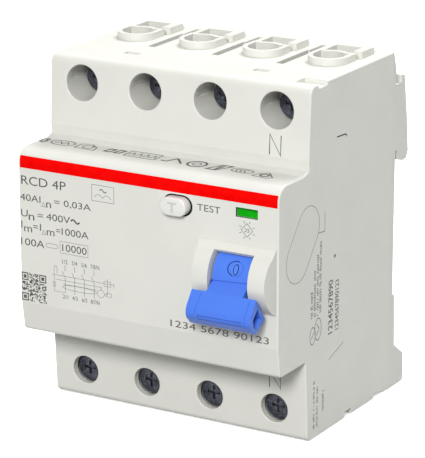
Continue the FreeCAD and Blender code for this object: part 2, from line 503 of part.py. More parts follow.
sizes({"prong_half": 3.4, "rear_prong_half": 3.0, "strap_half": 2.5, "prong_y0": -22.9, "prong_y1": -21.4, "rprong_y0": -12.9, "rprong_y1": -11.4})
ups, loads, lows, tips_fixed = [], [], [], []
for p, xc in POLES.items():
    s = str(p)
    ups.append(fuse("upper_bar" + s, [
        box("ub_prong" + s, xc + "-prong_half", xc + "+prong_half", "prong_y0", "prong_y1", 26.5, 39.4),
        box("ub_rear" + s, xc + "-rear_prong_half", xc + "+rear_prong_half", "rprong_y0", "rprong_y1", 26.5, 39.4),
        box("ub_link" + s, xc + "-strap_half", xc + "+strap_half", -41.0, "rprong_y1", 26.5, 28.0),
        box("ub_down" + s, xc + "-strap_half", xc + "+strap_half", -41.0, -39.5, 5.0, 28.0),
        box("ub_foot" + s, xc + "-strap_half", xc + "+strap_half", -41.0, -35.0, 5.0, 6.5)]))
    loads.append(fuse("load_bar" + s, [
        box("lb_foot" + s, xc + "-strap_half", xc + "+strap_half", -24.0, -17.0, 5.0, 6.5),
        box("lb_tab" + s, xc + "-strap_half", xc + "+strap_half", -18.5, -17.0, 0.0, 6.5)]))
    lows.append(fuse("lower_bar" + s, [
        box("wb_prong" + s, xc + "-prong_half", xc + "+prong_half", "prong_y0+row_shift", "prong_y1+row_shift", -38.8, -27.5),
        box("wb_rear" + s, xc + "-rear_prong_half", xc + "+rear_prong_half", "rprong_y0+row_shift", "rprong_y1+row_shift", -38.8, -27.5),
        box("wb_link" + s, xc + "-strap_half", xc + "+strap_half", "prong_y0+row_shift", "rprong_y1+row_shift", -29.0, -27.5)]))
    tips_fixed.append(cyl("tip_line" + s, "z", 2.0, xc, -37.0, 6.5, 1.2))
    tips_fixed.append(cyl("tip_load" + s, "z", 2.0, xc, -22.0, 6.5, 1.2))
node("upper_terminal_bars", group("upper_terminal_bars_group", ups))
node("load_contact_bars", group("load_contact_bars_group", loads))
node("lower_terminal_bars", group("lower_terminal_bars_group", lows))
node("fixed_contact_tips", group("fixed_contact_tips_group", tips_fixed))

# ---------------------------------------------------------------- contact carrier and bridges
sizes({"fork_z": 2.2, "fork_slot": 1.2, "arm_x0": 14.6, "arm_x1": 17.0, "stroke": 4.2})
parts = [box("carrier_beam", -31.0, 31.0, -33.5, -26.5, 18.7, 21.2)]
for p, xc in POLES.items():
    s = str(p)
    parts.append(box("leg_l" + s, xc + "-4.0", xc + "-2.8", -32.5, -27.5, 12.1, 19.0))
    parts.append(box("leg_r" + s, xc + "+2.8", xc + "+4.0", -32.5, -27.5, 12.1, 19.0))
    parts.append(box("ledge" + s, xc + "-4.0", xc + "+4.0", -32.5, -27.5, 12.1, 13.1))
parts.append(box("arm_post", "arm_x0", "arm_x1", -36.5, -32.0, 0.0, 21.2))
parts.append(box("arm_run", "arm_x0", "arm_x1", -48.9, -33.0, 0.0, 8.0))
parts.append(box("arm_fork", "arm_x0", "arm_x1", -52.2, -48.0, "fork_z-3.0", "fork_z+3.0"))
node("contact_carrier", cut("contact_carrier_shape", fuse("carrier_f", parts), [box("fork_slot_cut", 14, 18, -53, -49.0, "fork_z-fork_slot", "fork_z+fork_slot")]))
bridges, tips_moving, springs = [], [], []
for p, xc in POLES.items():
    s = str(p)
    bridges.append(box("bridge" + s, xc + "-2.3", xc + "+2.3", -39.0, -20.0, 13.3, 14.8))
    tips_moving.append(cyl("mtip_line" + s, "z", 2.0, xc, -37.0, 12.1, 1.2))
    tips_moving.append(cyl("mtip_load" + s, "z", 2.0, xc, -22.0, 12.1, 1.2))
    springs.append(coil("contact_spring%d" % p, "z", 1.3, 2.2, 14.85, 18.65, 5, PX[p], -30.0, 0))
node("contact_bridges", group("contact_bridges_group", bridges))
node("moving_contact_tips", group("moving_contact_tips_group", tips_moving))
node("contact_springs", group("contact_springs_group", springs))

# arc chutes behind the load side contacts
plates, cheeks = [], []
for p, xc in POLES.items():
    for k in range(5):
        plates.append(box("arc_plate%d_%d" % (p, k), xc + "-3.9", xc + "+3.9", -15.6, -8.4, 5.4 + 2.4 * k, 6.2 + 2.4 * k))
    for sgn, tag in ((-1, "l"), (1, "r")):
        a, b = sorted((sgn * 3.9, sgn * 4.5))
        cheeks.append(box("arc_cheek%d%s" % (p, tag), "%s+(%f)" % (xc, a), "%s+(%f)" % (xc, b), -16.0, -8.0, 4.6, 16.6))
node("arc_chute_plates", group("arc_chute_plates_group", plates))
node("arc_chute_cheeks", group("arc_chute_cheeks_group", cheeks))

# ---------------------------------------------------------------- summation transformer
sizes({"core_x": -9.0, "core_y": -22.0, "core_ro": 16.2, "core_ri": 9.5, "core_z0": -19.5, "core_tall": 10.0})
node("transformer_core", cut("core_shape", cyl("core_out", "z", "core_ro", "core_x", "core_y", "core_z0", "core_tall"),
                             [cyl("core_in", "z", "core_ri", "core_x", "core_y", "core_z0-1", "core_tall+2")]))
wind = cut("wind_ring", cyl("wind_out", "z", "core_ro+0.9", "core_x", "core_y", "core_z0-0.9", "core_tall+1.8"),
           [cyl("wind_in", "z", "core_ri-0.9", "core_x", "core_y", "core_z0-2", "core_tall+4")])
wind = common("wind_sector", wind, box("wind_zone", "core_x-20", "core_x+1", "core_y-13", "core_y+13", -30, 0))
node("secondary_winding", cut("wind_shape", wind, [cut("wind_core", cyl("wind_core_out", "z", "core_ro", "core_x", "core_y", "core_z0", "core_tall"),
                                                       [cyl("wind_core_in", "z", "core_ri", "core_x", "core_y", "core_z0-1", "core_tall+2")])]))
size("wire_r", 1.5)
routes = {
    1: [(-26.25, -17.75, 0.0), (-26.25, -17.75, -4.6), (-12.5, -24.0, -4.6), (-12.5, -24.0, -24.0), (-26.25, -22.5, -24.0), (-26.25, -22.5, -27.5)],
    2: [(-8.75, -17.75, 0.0), (-8.75, -17.75, -2.0), (-11.5, -19.0, -7.5), (-11.5, -19.0, -21.5), (-8.75, -22.5, -25.5), (-8.75, -22.5, -27.5)],
    3: [(8.75, -17.75, 0.0), (8.75, -17.75, -3.1), (-6.0, -19.9, -3.1), (-6.0, -19.9, -24.0), (8.75, -22.5, -24.0), (8.75, -22.5, -27.5)],
    4: [(26.25, -17.75, 0.0), (26.25, -17.75, -6.7), (-7.0, -24.6, -6.7), (-7.0, -24.6, -24.2), (2.0, -31.0, -24.2), (17.0, -31.0, -24.2), (26.25, -22.5, -24.2), (26.25, -22.5, -27.5)],
}
for p, pts in routes.items():
    node("primary_conductor_%d" % p, tube("primary_tube%d" % p, pts, 3.0, V["wire_r"]))

# ---------------------------------------------------------------- trip relay, inner frame, test circuit
frame_plate = fuse("frame_f", [box("frame_plate", -31.0, 12.6, -50.0, -48.9, -20.2, 19.3),
                               box("frame_foot_l", -31.0, -29.8, -55.4, -49.0, -20.2, 19.3),
                               box("frame_foot_m", -6.0, -4.8, -55.4, -49.0, -20.2, 8.0)])
node("inner_frame", cut("inner_frame_shape", frame_plate, [cyl("stem_hole", "y", 1.5, "btn_x", -51, "btn_z", 4)]))
node("relay_body", cut("relay_shape", box("relay_block", -14.0, 4.0, -48.8, -42.3, -16.0, 0.0), [cyl("relay_bore", "x", 1.25, -6.0, -45.5, -8.0, 12)]))
node("relay_plunger", cyl("plunger_shape", "x", 1.2, -5.0, -45.5, -8.0, 14.7))
lever = fuse("lever_f", [box("lever_arm", 10.0, 12.0, -47.3, -43.9, -12.0, 4.5),
                         box("lever_hook", 10.5, 14.2, -47.3, -43.9, 3.3, 4.5),
                         cyl("lever_eye", "y", 2.0, 11.0, -47.3, -2.0, 3.4)])
node("trip_lever", cut("trip_lever_shape", lever, [cyl("lever_hole", "y", 1.05, 11.0, -48, -2.0, 6)]))
node("trip_lever_pin", cyl("lever_pin_shape", "y", 1.0, 11.0, -48.9, -2.0, 5.6))

stadium_parts = []


def stadium_y(name, grow, y0, y1):
    return fuse(name, [
        box(name + "_m", "btn_x-(btn_half-btn_r)", "btn_x+(btn_half-btn_r)", y0, y1, "btn_z-btn_r-(%s)" % grow, "btn_z+btn_r+(%s)" % grow),
        cyl(name + "_l", "y", "btn_r+(%s)" % grow, "btn_x-(btn_half-btn_r)", y0, "btn_z", "(%s)-(%s)" % (y1, y0)),
        cyl(name + "_r", "y", "btn_r+(%s)" % grow, "btn_x+(btn_half-btn_r)", y0, "btn_z", "(%s)-(%s)" % (y1, y0))])


size("press", 1.8, "travel of the test button")
node("test_button", fuse("test_button_shape", [stadium_y("btn_cap", "-0.2", "-60.2", "-55.4"), stadium_y("btn_flange", "0.6", "-55.45", "-54.4"),
                                               cyl("btn_stem", "y", 1.2, "btn_x", -54.5, "btn_z", 5.0)]))
node("test_button_spring", coil("test_button_spring_shape", "y", 1.6, 2.2, -54.35, -50.05, 5, V["btn_x"], 0, V["btn_z"]))
node("test_contact_leaf", fuse("leaf_shape", [box("leaf_blade", -1.0, 10.2, -47.3, -46.9, 13.6, 16.4), box("leaf_foot", -1.0, 0.4, -48.9, -46.9, 13.6, 16.4)]))
node("test_resistor", fuse("resistor_shape", [cyl("resistor_body", "x", 1.9, -19.0, -46.2, 11.0, 11.0), cyl("resistor_leads", "x", 0.35, -23.0, -46.2, 11.0, 19.0),
                                              box("resistor_leg_l", -23.3, -22.3, -48.9, -45.7, 10.5, 11.5), box("resistor_leg_r", -4.7, -3.7, -48.9, -45.7, 10.5, 11.5)]))

# ---------------------------------------------------------------- toggle
sizes({"drum_left": 19.7, "drum_right": 29.1, "grip_left": 16.05, "grip_right": 32.75, "crank_r": 4.2, "r_grip_top": 4.0, "r_grip_front": 2.4, "r_grip_low": 0.9})
drum = cyl("drum", "x", "drum_r", "drum_left", "axle_y", "axle_z", "drum_right-drum_left")
neck = prism("neck", "YZ", [(-57.0, 1.1), (-60.97, -0.3), (-63.8, -2.1), (-63.8, -6.5), (-62.2, -6.9), (-60.2, -5.1), (-57.0, -3.0)], "drum_left", "drum_right")
grip = prism("grip", "YZ", [(-63.85, -2.05), (-66.3, -5.3), (-67.1, -7.4), (-64.2, -10.2), (-59.9, -7.5)], "grip_left", "grip_right",
             fillets=[([1], "r_grip_top"), ([2], "r_grip_front"), ([3], "r_grip_low")])
crank = cyl("crank_pin", "x", 1.0, 14.8, "axle_y+3.637", "axle_z+2.1", 5.5)
handle = fuse("toggle_f", [drum, neck, grip, crank])
handle_cut = [cyl("handle_bore", "x", "axle_r+0.05", 19, "axle_y", "axle_z", 11),
              cyl("spring_room", "x", 4.2, 26.0, "axle_y", "axle_z", 4),
              prism("end_recess_r", "YZ", [(-63.2, -4.3), (-65.3, -6.3), (-65.0, -8.2), (-63.9, -8.9), (-61.5, -7.2)], 29.8, 33.5),
              prism("end_recess_l", "YZ", [(-63.2, -4.3), (-65.3, -6.3), (-65.0, -8.2), (-63.9, -8.9), (-61.5, -7.2)], 15.0, 19.0)]
node("toggle_handle", cut("toggle_handle_shape", handle, handle_cut))
node("toggle_pin", cyl("toggle_pin_shape", "x", "axle_r", 17.35, "axle_y", "axle_z", 14.1))
node("toggle_spring", coil("toggle_spring_shape", "x", 1.7, 3.4, 26.1, 29.0, 4, 0, V["axle_y"], V["axle_z"]))

# status flag: green above, red below, standing behind the window
node("indicator_flag", fuse("flag_shape", [box("flag_plate", 23.2, 30.3, -56.6, -55.85, 11.3, 17.2), box("flag_stem", 25.6, 27.9, -56.4, -55.85, 8.0, 11.4)]))

# ---------------------------------------------------------------- checks and export
doc.recompute()
bad = []
for o in doc.Objects:
    state = [str(x) for x in o.State]
    if "Invalid" in state or "Error" in state:
        bad.append("%s (%s): %s" % (o.Name, o.Label, state))
for label, o in NODES.items():
    sh = o.Shape
    if sh.isNull() or not sh.isValid() or sh.Volume <= 0 or not sh.Solids:
        bad.append("%s: shape null, invalid or empty" % label)
if bad:
    raise RuntimeError("; ".join(bad))

os.makedirs("parts", exist_ok=True)
for label, o in NODES.items():
    o.Shape.exportStep("parts/%s.step" % label)
    bb = o.Shape.BoundBox
    print("%-26s solids %2d  vol %9.1f  x %7.2f..%7.2f  y %7.2f..%7.2f  z %7.2f..%7.2f" % (
        label, len(o.Shape.Solids), o.Shape.Volume, bb.XMin, bb.XMax, bb.YMin, bb.YMax, bb.ZMin, bb.ZMax))
print("nodes:", len(NODES))
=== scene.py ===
import bpy
import bmesh
import json
import math
import random
from mathutils import Vector, Matrix


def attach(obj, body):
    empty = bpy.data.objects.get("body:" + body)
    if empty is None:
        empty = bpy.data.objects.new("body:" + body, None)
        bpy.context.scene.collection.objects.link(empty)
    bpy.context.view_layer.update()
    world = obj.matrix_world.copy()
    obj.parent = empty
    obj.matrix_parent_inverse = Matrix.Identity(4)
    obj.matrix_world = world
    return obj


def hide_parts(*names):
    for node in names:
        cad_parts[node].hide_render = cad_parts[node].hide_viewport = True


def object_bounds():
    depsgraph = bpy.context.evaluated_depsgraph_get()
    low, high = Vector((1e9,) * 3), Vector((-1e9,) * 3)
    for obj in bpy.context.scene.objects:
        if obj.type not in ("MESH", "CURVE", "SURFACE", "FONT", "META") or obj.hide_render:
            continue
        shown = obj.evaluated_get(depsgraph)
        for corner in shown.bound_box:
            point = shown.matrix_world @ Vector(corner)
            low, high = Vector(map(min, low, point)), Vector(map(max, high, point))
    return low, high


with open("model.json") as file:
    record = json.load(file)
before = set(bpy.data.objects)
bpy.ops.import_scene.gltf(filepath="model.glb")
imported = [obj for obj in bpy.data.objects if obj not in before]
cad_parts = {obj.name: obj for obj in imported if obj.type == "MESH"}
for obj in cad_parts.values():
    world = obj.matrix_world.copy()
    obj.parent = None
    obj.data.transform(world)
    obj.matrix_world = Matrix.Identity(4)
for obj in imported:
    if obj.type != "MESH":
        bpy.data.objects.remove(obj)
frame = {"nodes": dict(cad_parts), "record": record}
cad_low, cad_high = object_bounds()
NODES = frame["nodes"]
MM = 0.001

# ------------------------------------------------------------------ materials


class Net:
    """A material with a Principled shader and short ways to add nodes."""

    def __init__(self, name):
        self.mat = bpy.data.materials.new(name)
        self.mat.use_nodes = True
        self.t = self.mat.node_tree
        self.t.nodes.clear()
        self.out = self.t.nodes.new("ShaderNodeOutputMaterial")
        self.b = self.t.nodes.new("ShaderNodeBsdfPrincipled")
        self.link(self.b.outputs["BSDF"], self.out.inputs["Surface"])
        self.coord = self.t.nodes.new("ShaderNodeTexCoord").outputs["Object"]
        self.normal = None

    def link(self, a, b):
        self.t.links.new(a, b)

    def mapped(self, scale=(1, 1, 1), rot=(0, 0, 0), loc=(0, 0, 0)):
        m = self.t.nodes.new("ShaderNodeMapping")
        m.inputs["Scale"].default_value = scale
        m.inputs["Rotation"].default_value = rot
        m.inputs["Location"].default_value = loc
        self.link(self.coord, m.inputs["Vector"])
        return m.outputs["Vector"]

    def noise(self, per_m, detail=3.0, rough=0.55, vector=None, distort=0.0):
        n = self.t.nodes.new("ShaderNodeTexNoise")
        n.inputs["Scale"].default_value = per_m
        n.inputs["Detail"].default_value = detail
        n.inputs["Roughness"].default_value = rough
        n.inputs["Distortion"].default_value = distort
        self.link(vector or self.coord, n.inputs["Vector"])
        return n.outputs["Fac"]

    def voronoi(self, per_m, feature="F1", vector=None):
        n = self.t.nodes.new("ShaderNodeTexVoronoi")
        n.feature = feature
        n.inputs["Scale"].default_value = per_m
        self.link(vector or self.coord, n.inputs["Vector"])
        return n.outputs["Distance"]

    def ramp(self, fac, low, high, a=0.0, b=1.0):
        m = self.t.nodes.new("ShaderNodeMapRange")
        m.interpolation_type = "SMOOTHSTEP"
        m.inputs["From Min"].default_value = low
        m.inputs["From Max"].default_value = high
        m.inputs["To Min"].default_value = a
        m.inputs["To Max"].default_value = b
        self.link(fac, m.inputs["Value"])
        return m.outputs["Result"]

    def mix(self, fac, ca, cb):
        m = self.t.nodes.new("ShaderNodeMix")
        m.data_type = "RGBA"
        for sock, c in ((m.inputs["A"], ca), (m.inputs["B"], cb)):
            if isinstance(c, (tuple, list)):
                sock.default_value = (c[0], c[1], c[2], 1.0)
            else:
                self.link(c, sock)
        if isinstance(fac, (int, float)):
            m.inputs["Factor"].default_value = fac
        else:
            self.link(fac, m.inputs["Factor"])
        return m.outputs["Result"]

    def math(self, op, a, b=0.0):
        m = self.t.nodes.new("ShaderNodeMath")
        m.operation = op
        for sock, v in ((m.inputs[0], a), (m.inputs[1], b)):
            if isinstance(v, (int, float)):
                sock.default_value = v
            else:
                self.link(v, sock)
        return m.outputs[0]

    def bump(self, height, strength, distance):
        n = self.t.nodes.new("ShaderNodeBump")
        n.inputs["Strength"].default_value = strength
        n.inputs["Distance"].default_value = distance
        self.link(height, n.inputs["Height"])
        if self.normal is not None:
            self.link(self.normal, n.inputs["Normal"])
        self.normal = n.outputs["Normal"]
        return self

    def done(self, base=None, rough=None):
        if base is not None:
            if isinstance(base, (tuple, list)):
                self.b.inputs["Base Color"].default_value = (*base, 1.0)
            else:
                self.link(base, self.b.inputs["Base Color"])
        if rough is not None:
            if isinstance(rough, (int, float)):
                self.b.inputs["Roughness"].default_value = rough
            else:
                self.link(rough, self.b.inputs["Roughness"])
        if self.normal is not None:
            self.link(self.normal, self.b.inputs["Normal"])
        return self.mat


def shade(c, k):
    return tuple(min(1.0, max(0.0, x * k)) for x in c)


TONE = 0.75   # the plastics are light grey rather than white, so little light is passed between facing walls


def moulded(name, base, rough=0.42, grain=0.5, vary=0.03, specular=0.5, coat=0.0, subsurface=0.0):
    """Injection moulded plastic: fine spark-eroded grain, faint flow clouds and a few rub marks."""
    n = Net(name)
    base = shade(base, TONE)
    cloud = n.noise(95.0, 3.0, 0.5)
    fine = n.noise(5200.0, 3.0, 0.6)
    pits = n.voronoi(3600.0)
    mid = n.noise(900.0, 2.0, 0.5)
    rub = n.noise(60.0, 4.0, 0.65, n.mapped((1.0, 1.0, 9.0), (0.2, 0.5, 0.1)))
    c = n.mix(n.ramp(cloud, 0.3, 0.7), shade(base, 1.0 - vary), shade(base, 1.0 + 0.4 * vary))
    c = n.mix(n.math("MULTIPLY", n.ramp(pits, 0.0, 0.35, 1.0, 0.0), 0.05), c, shade(base, 0.75))
    c = n.mix(n.math("MULTIPLY", n.ramp(rub, 0.62, 0.8), 0.10), c, shade(base, 0.86))
    r = n.math("ADD", n.ramp(mid, 0.25, 0.75, rough - 0.05, rough + 0.05), n.ramp(rub, 0.55, 0.8, 0.0, 0.08))
    n.bump(cloud, 0.10, 0.00012)
    n.bump(fine, 0.20 * grain, 0.00003)
    n.bump(pits, 0.14 * grain, 0.00002)
    n.b.inputs["Specular IOR Level"].default_value = specular
    if coat:
        n.b.inputs["Coat Weight"].default_value = coat
        n.b.inputs["Coat Roughness"].default_value = 0.12
    if subsurface:
        n.b.inputs["Subsurface Weight"].default_value = subsurface
        n.b.inputs["Subsurface Radius"].default_value = (0.0012, 0.0010, 0.0008)
        n.b.inputs["Subsurface Scale"].default_value = 1.0
    return n.done(c, r)


def metal(name, base, rough=0.3, brush=(1, 1, 1), stain=0.25, metallic=1.0, brush_amount=0.25):
    """Plated or bare metal with draw marks along one axis, stains and tiny dents."""
    n = Net(name)
    base = shade(base, 0.9)
    marks = n.noise(2600.0, 3.0, 0.6, n.mapped(brush))
    blot = n.noise(260.0, 4.0, 0.6)
    dent = n.noise(700.0, 2.0, 0.5)
    c = n.mix(n.ramp(blot, 0.38, 0.72), base, shade(base, 1.0 - stain))
    c = n.mix(n.math("MULTIPLY", n.ramp(marks, 0.3, 0.7), 0.25), c, shade(base, 1.18))
    r = n.math("ADD", n.ramp(marks, 0.2, 0.8, rough - 0.07, rough + 0.09), n.ramp(blot, 0.4, 0.75, 0.0, 0.10))
    n.bump(marks, brush_amount, 0.00002)
    n.bump(dent, 0.08, 0.00005)
    n.b.inputs["Metallic"].default_value = metallic
    return n.done(c, r)


CASE = (0.80, 0.80, 0.742)
m_case = moulded("case_plastic_look", CASE, 0.40, 0.6, 0.02)
m_base = moulded("base_plastic_look", shade(CASE, 0.985), 0.44, 0.9, 0.025)
m_plug = moulded("plug_plastic_look", shade(CASE, 0.99), 0.40, 0.6, 0.02)
m_clip = moulded("clip_plastic_look", (0.70, 0.70, 0.68), 0.36, 0.7, 0.03)
m_button = moulded("button_plastic_look", (0.84, 0.84, 0.80), 0.30, 0.35, 0.02, 0.45, 0.15)
m_toggle = moulded("toggle_plastic_look", (0.088, 0.235, 0.91), 0.38, 0.45, 0.03, 0.22)
# the darker and lighter copies of the toggle blue below are painted shade and painted highlight for engraved marks,
# creases, grooves and the stop ear
m_toggle_mark_shade = moulded("toggle_mark_shade_look", (0.016, 0.050, 0.26), 0.42, 0.3, 0.05, 0.2)
m_toggle_mid_shade = moulded("toggle_line_mid_shade_look", (0.050, 0.150, 0.70), 0.42, 0.3, 0.03, 0.2)
m_toggle_dim_shade = moulded("toggle_line_dim_shade_look", (0.030, 0.095, 0.50), 0.42, 0.3, 0.03, 0.2)
m_toggle_deep_shade = moulded("toggle_deep_shade_look", (0.020, 0.060, 0.42), 0.42, 0.3, 0.03, 0.2)
m_toggle_mark_highlight = moulded("toggle_mark_highlight_look", (0.16, 0.36, 1.0), 0.36, 0.3, 0.03, 0.3)
# near-black painted shadow for gaps and openings that are in shade
m_gap_shadow = moulded("gap_shadow_look", (0.010, 0.010, 0.010), 0.7, 0.5, 0.2, 0.05)
# darker copy of the flag green, painted shade for the window's recessed edge
m_flag_edge_shade = moulded("flag_edge_shade_look", (0.0, 0.17, 0.008), 0.6, 0.5, 0.2, 0.05)
# darker copy of the button plastic, painted shade for the raised T
m_button_letter_shade = moulded("button_letter_shade_look", (0.66, 0.66, 0.62), 0.34, 0.3, 0.03, 0.3)
m_inner = moulded("inner_plastic_look", (0.085, 0.085, 0.09), 0.48, 1.0, 0.10)
m_ring_case = moulded("ring_case_look", (0.045, 0.045, 0.05), 0.42, 1.0, 0.12)
m_relay = moulded("relay_case_look", (0.42, 0.45, 0.50), 0.45, 0.8, 0.05)
m_resistor = moulded("resistor_coat_look", (0.16, 0.30, 0.24), 0.5, 1.4, 0.12)
m_sleeve = moulded("wire_sleeve_look", (0.20, 0.085, 0.035), 0.34, 0.8, 0.12)
m_zinc = metal("zinc_steel_look", (0.62, 0.63, 0.66), 0.30, (1, 1, 12), 0.18)
m_cage = metal("cage_steel_look", (0.50, 0.51, 0.54), 0.33, (14, 1, 1), 0.28)
m_silver = metal("contact_silver_look", (0.86, 0.85, 0.82), 0.22, (4, 4, 1), 0.22)
m_copper = metal("copper_look", (0.86, 0.42, 0.27), 0.30, (1, 1, 10), 0.38)


def screw_look():
    """Blackened steel, made darker still as painted shade for the bottom of the deep terminal holes: turned rings
    round the screw's own axis come from the piece itself, this gives the oxide.
    """
    n = Net("screw_steel_look")
    ox = n.noise(1800.0, 4.0, 0.65)
    blot = n.noise(380.0, 3.0, 0.6)
    c = n.mix(n.ramp(blot, 0.35, 0.7), (0.036, 0.038, 0.050), (0.080, 0.083, 0.102))
    c = n.mix(n.math("MULTIPLY", n.ramp(ox, 0.45, 0.75), 0.5), c, (0.20, 0.21, 0.25))
    n.bump(ox, 0.35, 0.00003)
    n.b.inputs["Metallic"].default_value = 0.75
    return n.done(c, n.ramp(ox, 0.2, 0.8, 0.30, 0.52))


m_screw = screw_look()


def stripe_look():
    n = Net("stripe_red_look")
    flow = n.noise(420.0, 3.0, 0.55)
    peel = n.noise(2400.0, 2.0, 0.5)
    c = n.mix(n.ramp(flow, 0.3, 0.7), (0.72, 0.0008, 0.0006), (0.78, 0.002, 0.0015))
    n.bump(peel, 0.10, 0.00002)
    n.b.inputs["Specular IOR Level"].default_value = 0.02
    return n.done(c, n.ramp(flow, 0.2, 0.8, 0.42, 0.56))


m_stripe = stripe_look()


def ink_look(name, c0, c1):
    n = Net(name)
    c0, c1 = shade(c0, 0.7), shade(c1, 0.7)
    wear = n.noise(2600.0, 4.0, 0.7)
    c = n.mix(n.ramp(wear, 0.35, 0.75), c0, c1)
    n.bump(wear, 0.10, 0.00001)
    return n.done(c, n.ramp(wear, 0.2, 0.8, 0.42, 0.60))


m_ink = ink_look("print_ink_look", (0.055, 0.052, 0.050), (0.105, 0.10, 0.095))
m_ink_pale = ink_look("print_ink_pale_look", (0.20, 0.195, 0.185), (0.30, 0.29, 0.28))
m_groove = ink_look("groove_shadow_look", (0.23, 0.23, 0.22), (0.32, 0.32, 0.305))
m_groove_shade = ink_look("groove_shade_look", (0.075, 0.075, 0.072), (0.12, 0.12, 0.115))


def flag_look():
    """Green above, red below: the split is at a height in the flag's own frame."""
    n = Net("flag_look")
    sep = n.t.nodes.new("ShaderNodeSeparateXYZ")
    n.link(n.coord, sep.inputs[0])
    half = n.math("GREATER_THAN", sep.outputs["Z"], 14.3 * MM)
    flow = n.noise(700.0, 3.0, 0.5)
    green = n.mix(n.ramp(flow, 0.3, 0.7), (0.0, 0.34, 0.0), (0.0, 0.39, 0.0005))
    red = n.mix(n.ramp(flow, 0.3, 0.7), (0.46, 0.007, 0.006), (0.54, 0.012, 0.010))
    n.bump(flow, 0.08, 0.00003)
    n.b.inputs["Specular IOR Level"].default_value = 0.0
    return n.done(n.mix(half, red, green), n.ramp(flow, 0.2, 0.8, 0.46, 0.58))


m_flag = flag_look()


def window_look():
    n = Net("window_clear_look")
    smear = n.noise(500.0, 3.0, 0.6)
    c = n.mix(n.ramp(smear, 0.3, 0.7), (0.90, 0.95, 0.91), (0.95, 0.97, 0.95))
    n.b.inputs["Alpha"].default_value = 0.004
    n.b.inputs["Specular IOR Level"].default_value = 0.0
    n.bump(smear, 0.05, 0.00002)
    m = n.done(c, n.ramp(smear, 0.3, 0.8, 0.12, 0.24))
    return m


m_window = window_look()

LOOKS = {
    "case_plastic": m_case, "stripe_red": m_stripe, "window_clear": m_window, "flag_plastic": m_flag,
    "toggle_plastic": m_toggle, "button_plastic": m_button, "clip_plastic": m_clip, "zinc_steel": m_zinc,
    "cage_steel": m_cage, "screw_steel": m_screw, "copper": m_copper, "contact_silver": m_silver,
    "inner_plastic": m_inner, "core_case": m_ring_case, "relay_case": m_relay, "resistor_body": m_resistor,
    "wire_sleeve": m_sleeve,
}
slots = {s["node"]: s["material_slot"] for s in frame["record"]["subparts"]}
for name, o in NODES.items():
    look = LOOKS[slots[name]]
    if name == "rear_base":
        look = m_base
    if name == "side_knockout_plug":
        look = m_plug
    for s in o.material_slots:
        s.material = look


def ease(o, width, angle=40.0, segments=2):
    """Joins the split corners and rounds the hard edges a little."""
    w = o.modifiers.new("join", "WELD")
    w.merge_threshold = 0.000004
    b = o.modifiers.new("ease", "BEVEL")
    b.width = width
    b.segments = segments
    b.limit_method = "ANGLE"
    b.angle_limit = math.radians(angle)
    b.use_clamp_overlap = True
    b.harden_normals = False
    return o


# ------------------------------------------------------------------ drawing on faces


class Face:
    """A flat face: a point u, v on it and w above it, in mm, gives a point in the row frame."""

    def __init__(self, origin, u, v):
        self.o = Vector(origin)
        self.u = Vector(u).normalized()
        self.v = Vector(v).normalized()
        self.n = self.u.cross(self.v).normalized()

    def at(self, u, v, w=0.0):
        return (self.o + self.u * u + self.v * v + self.n * w) * MM


FRONT = Face((0, -57.7, 0), (1, 0, 0), (0, 0, 1))
SIDE_R = Face((35.0, 0, 0), (0, 1, 0), (0, 0, 1))
SIDE_L = Face((-35.0, 0, 0), (0, -1, 0), (0, 0, 1))
SHOULDER = Face((0, -43.0, 42.5), (1, 0, 0), (0, 0.9, 17.0))
FOOT = Face((0, -43.1, -42.5), (1, 0, 0), (0, -1.2, 20.0))
NOSE_TOP = Face((0, -48.6, 22.521), (1, 0, 0), (0, 11.5, -0.1))
BACK = Face((0, 0, 0), (-1, 0, 0), (0, 0, 1))
TOP = Face((0, 0, 42.5), (1, 0, 0), (0, 1, 0))

PRINT_TOP, PRINT_LOW = 0.012, -0.02


def new_piece(name, bm, material, body="case", smooth=False):
    me = bpy.data.meshes.new(name)
    bm.to_mesh(me)
    bm.free()
    me.materials.append(material)
    o = bpy.data.objects.new(name, me)
    bpy.context.scene.collection.objects.link(o)
    if smooth:
        for p in me.polygons:
            p.use_smooth = True
    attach(o, body)
    return o


def prism_into(bm, face, outline, low=PRINT_LOW, top=PRINT_TOP):
    """Closed prism over a 2-D outline on a face."""
    lo = [bm.verts.new(face.at(u, v, low)) for u, v in outline]
    hi = [bm.verts.new(face.at(u, v, top)) for u, v in outline]
    n = len(outline)
    for i in range(n):
        j = (i + 1) % n
        bm.faces.new((lo[i], lo[j], hi[j], hi[i]))
    bm.faces.new(hi)
    bm.faces.new(list(reversed(lo)))


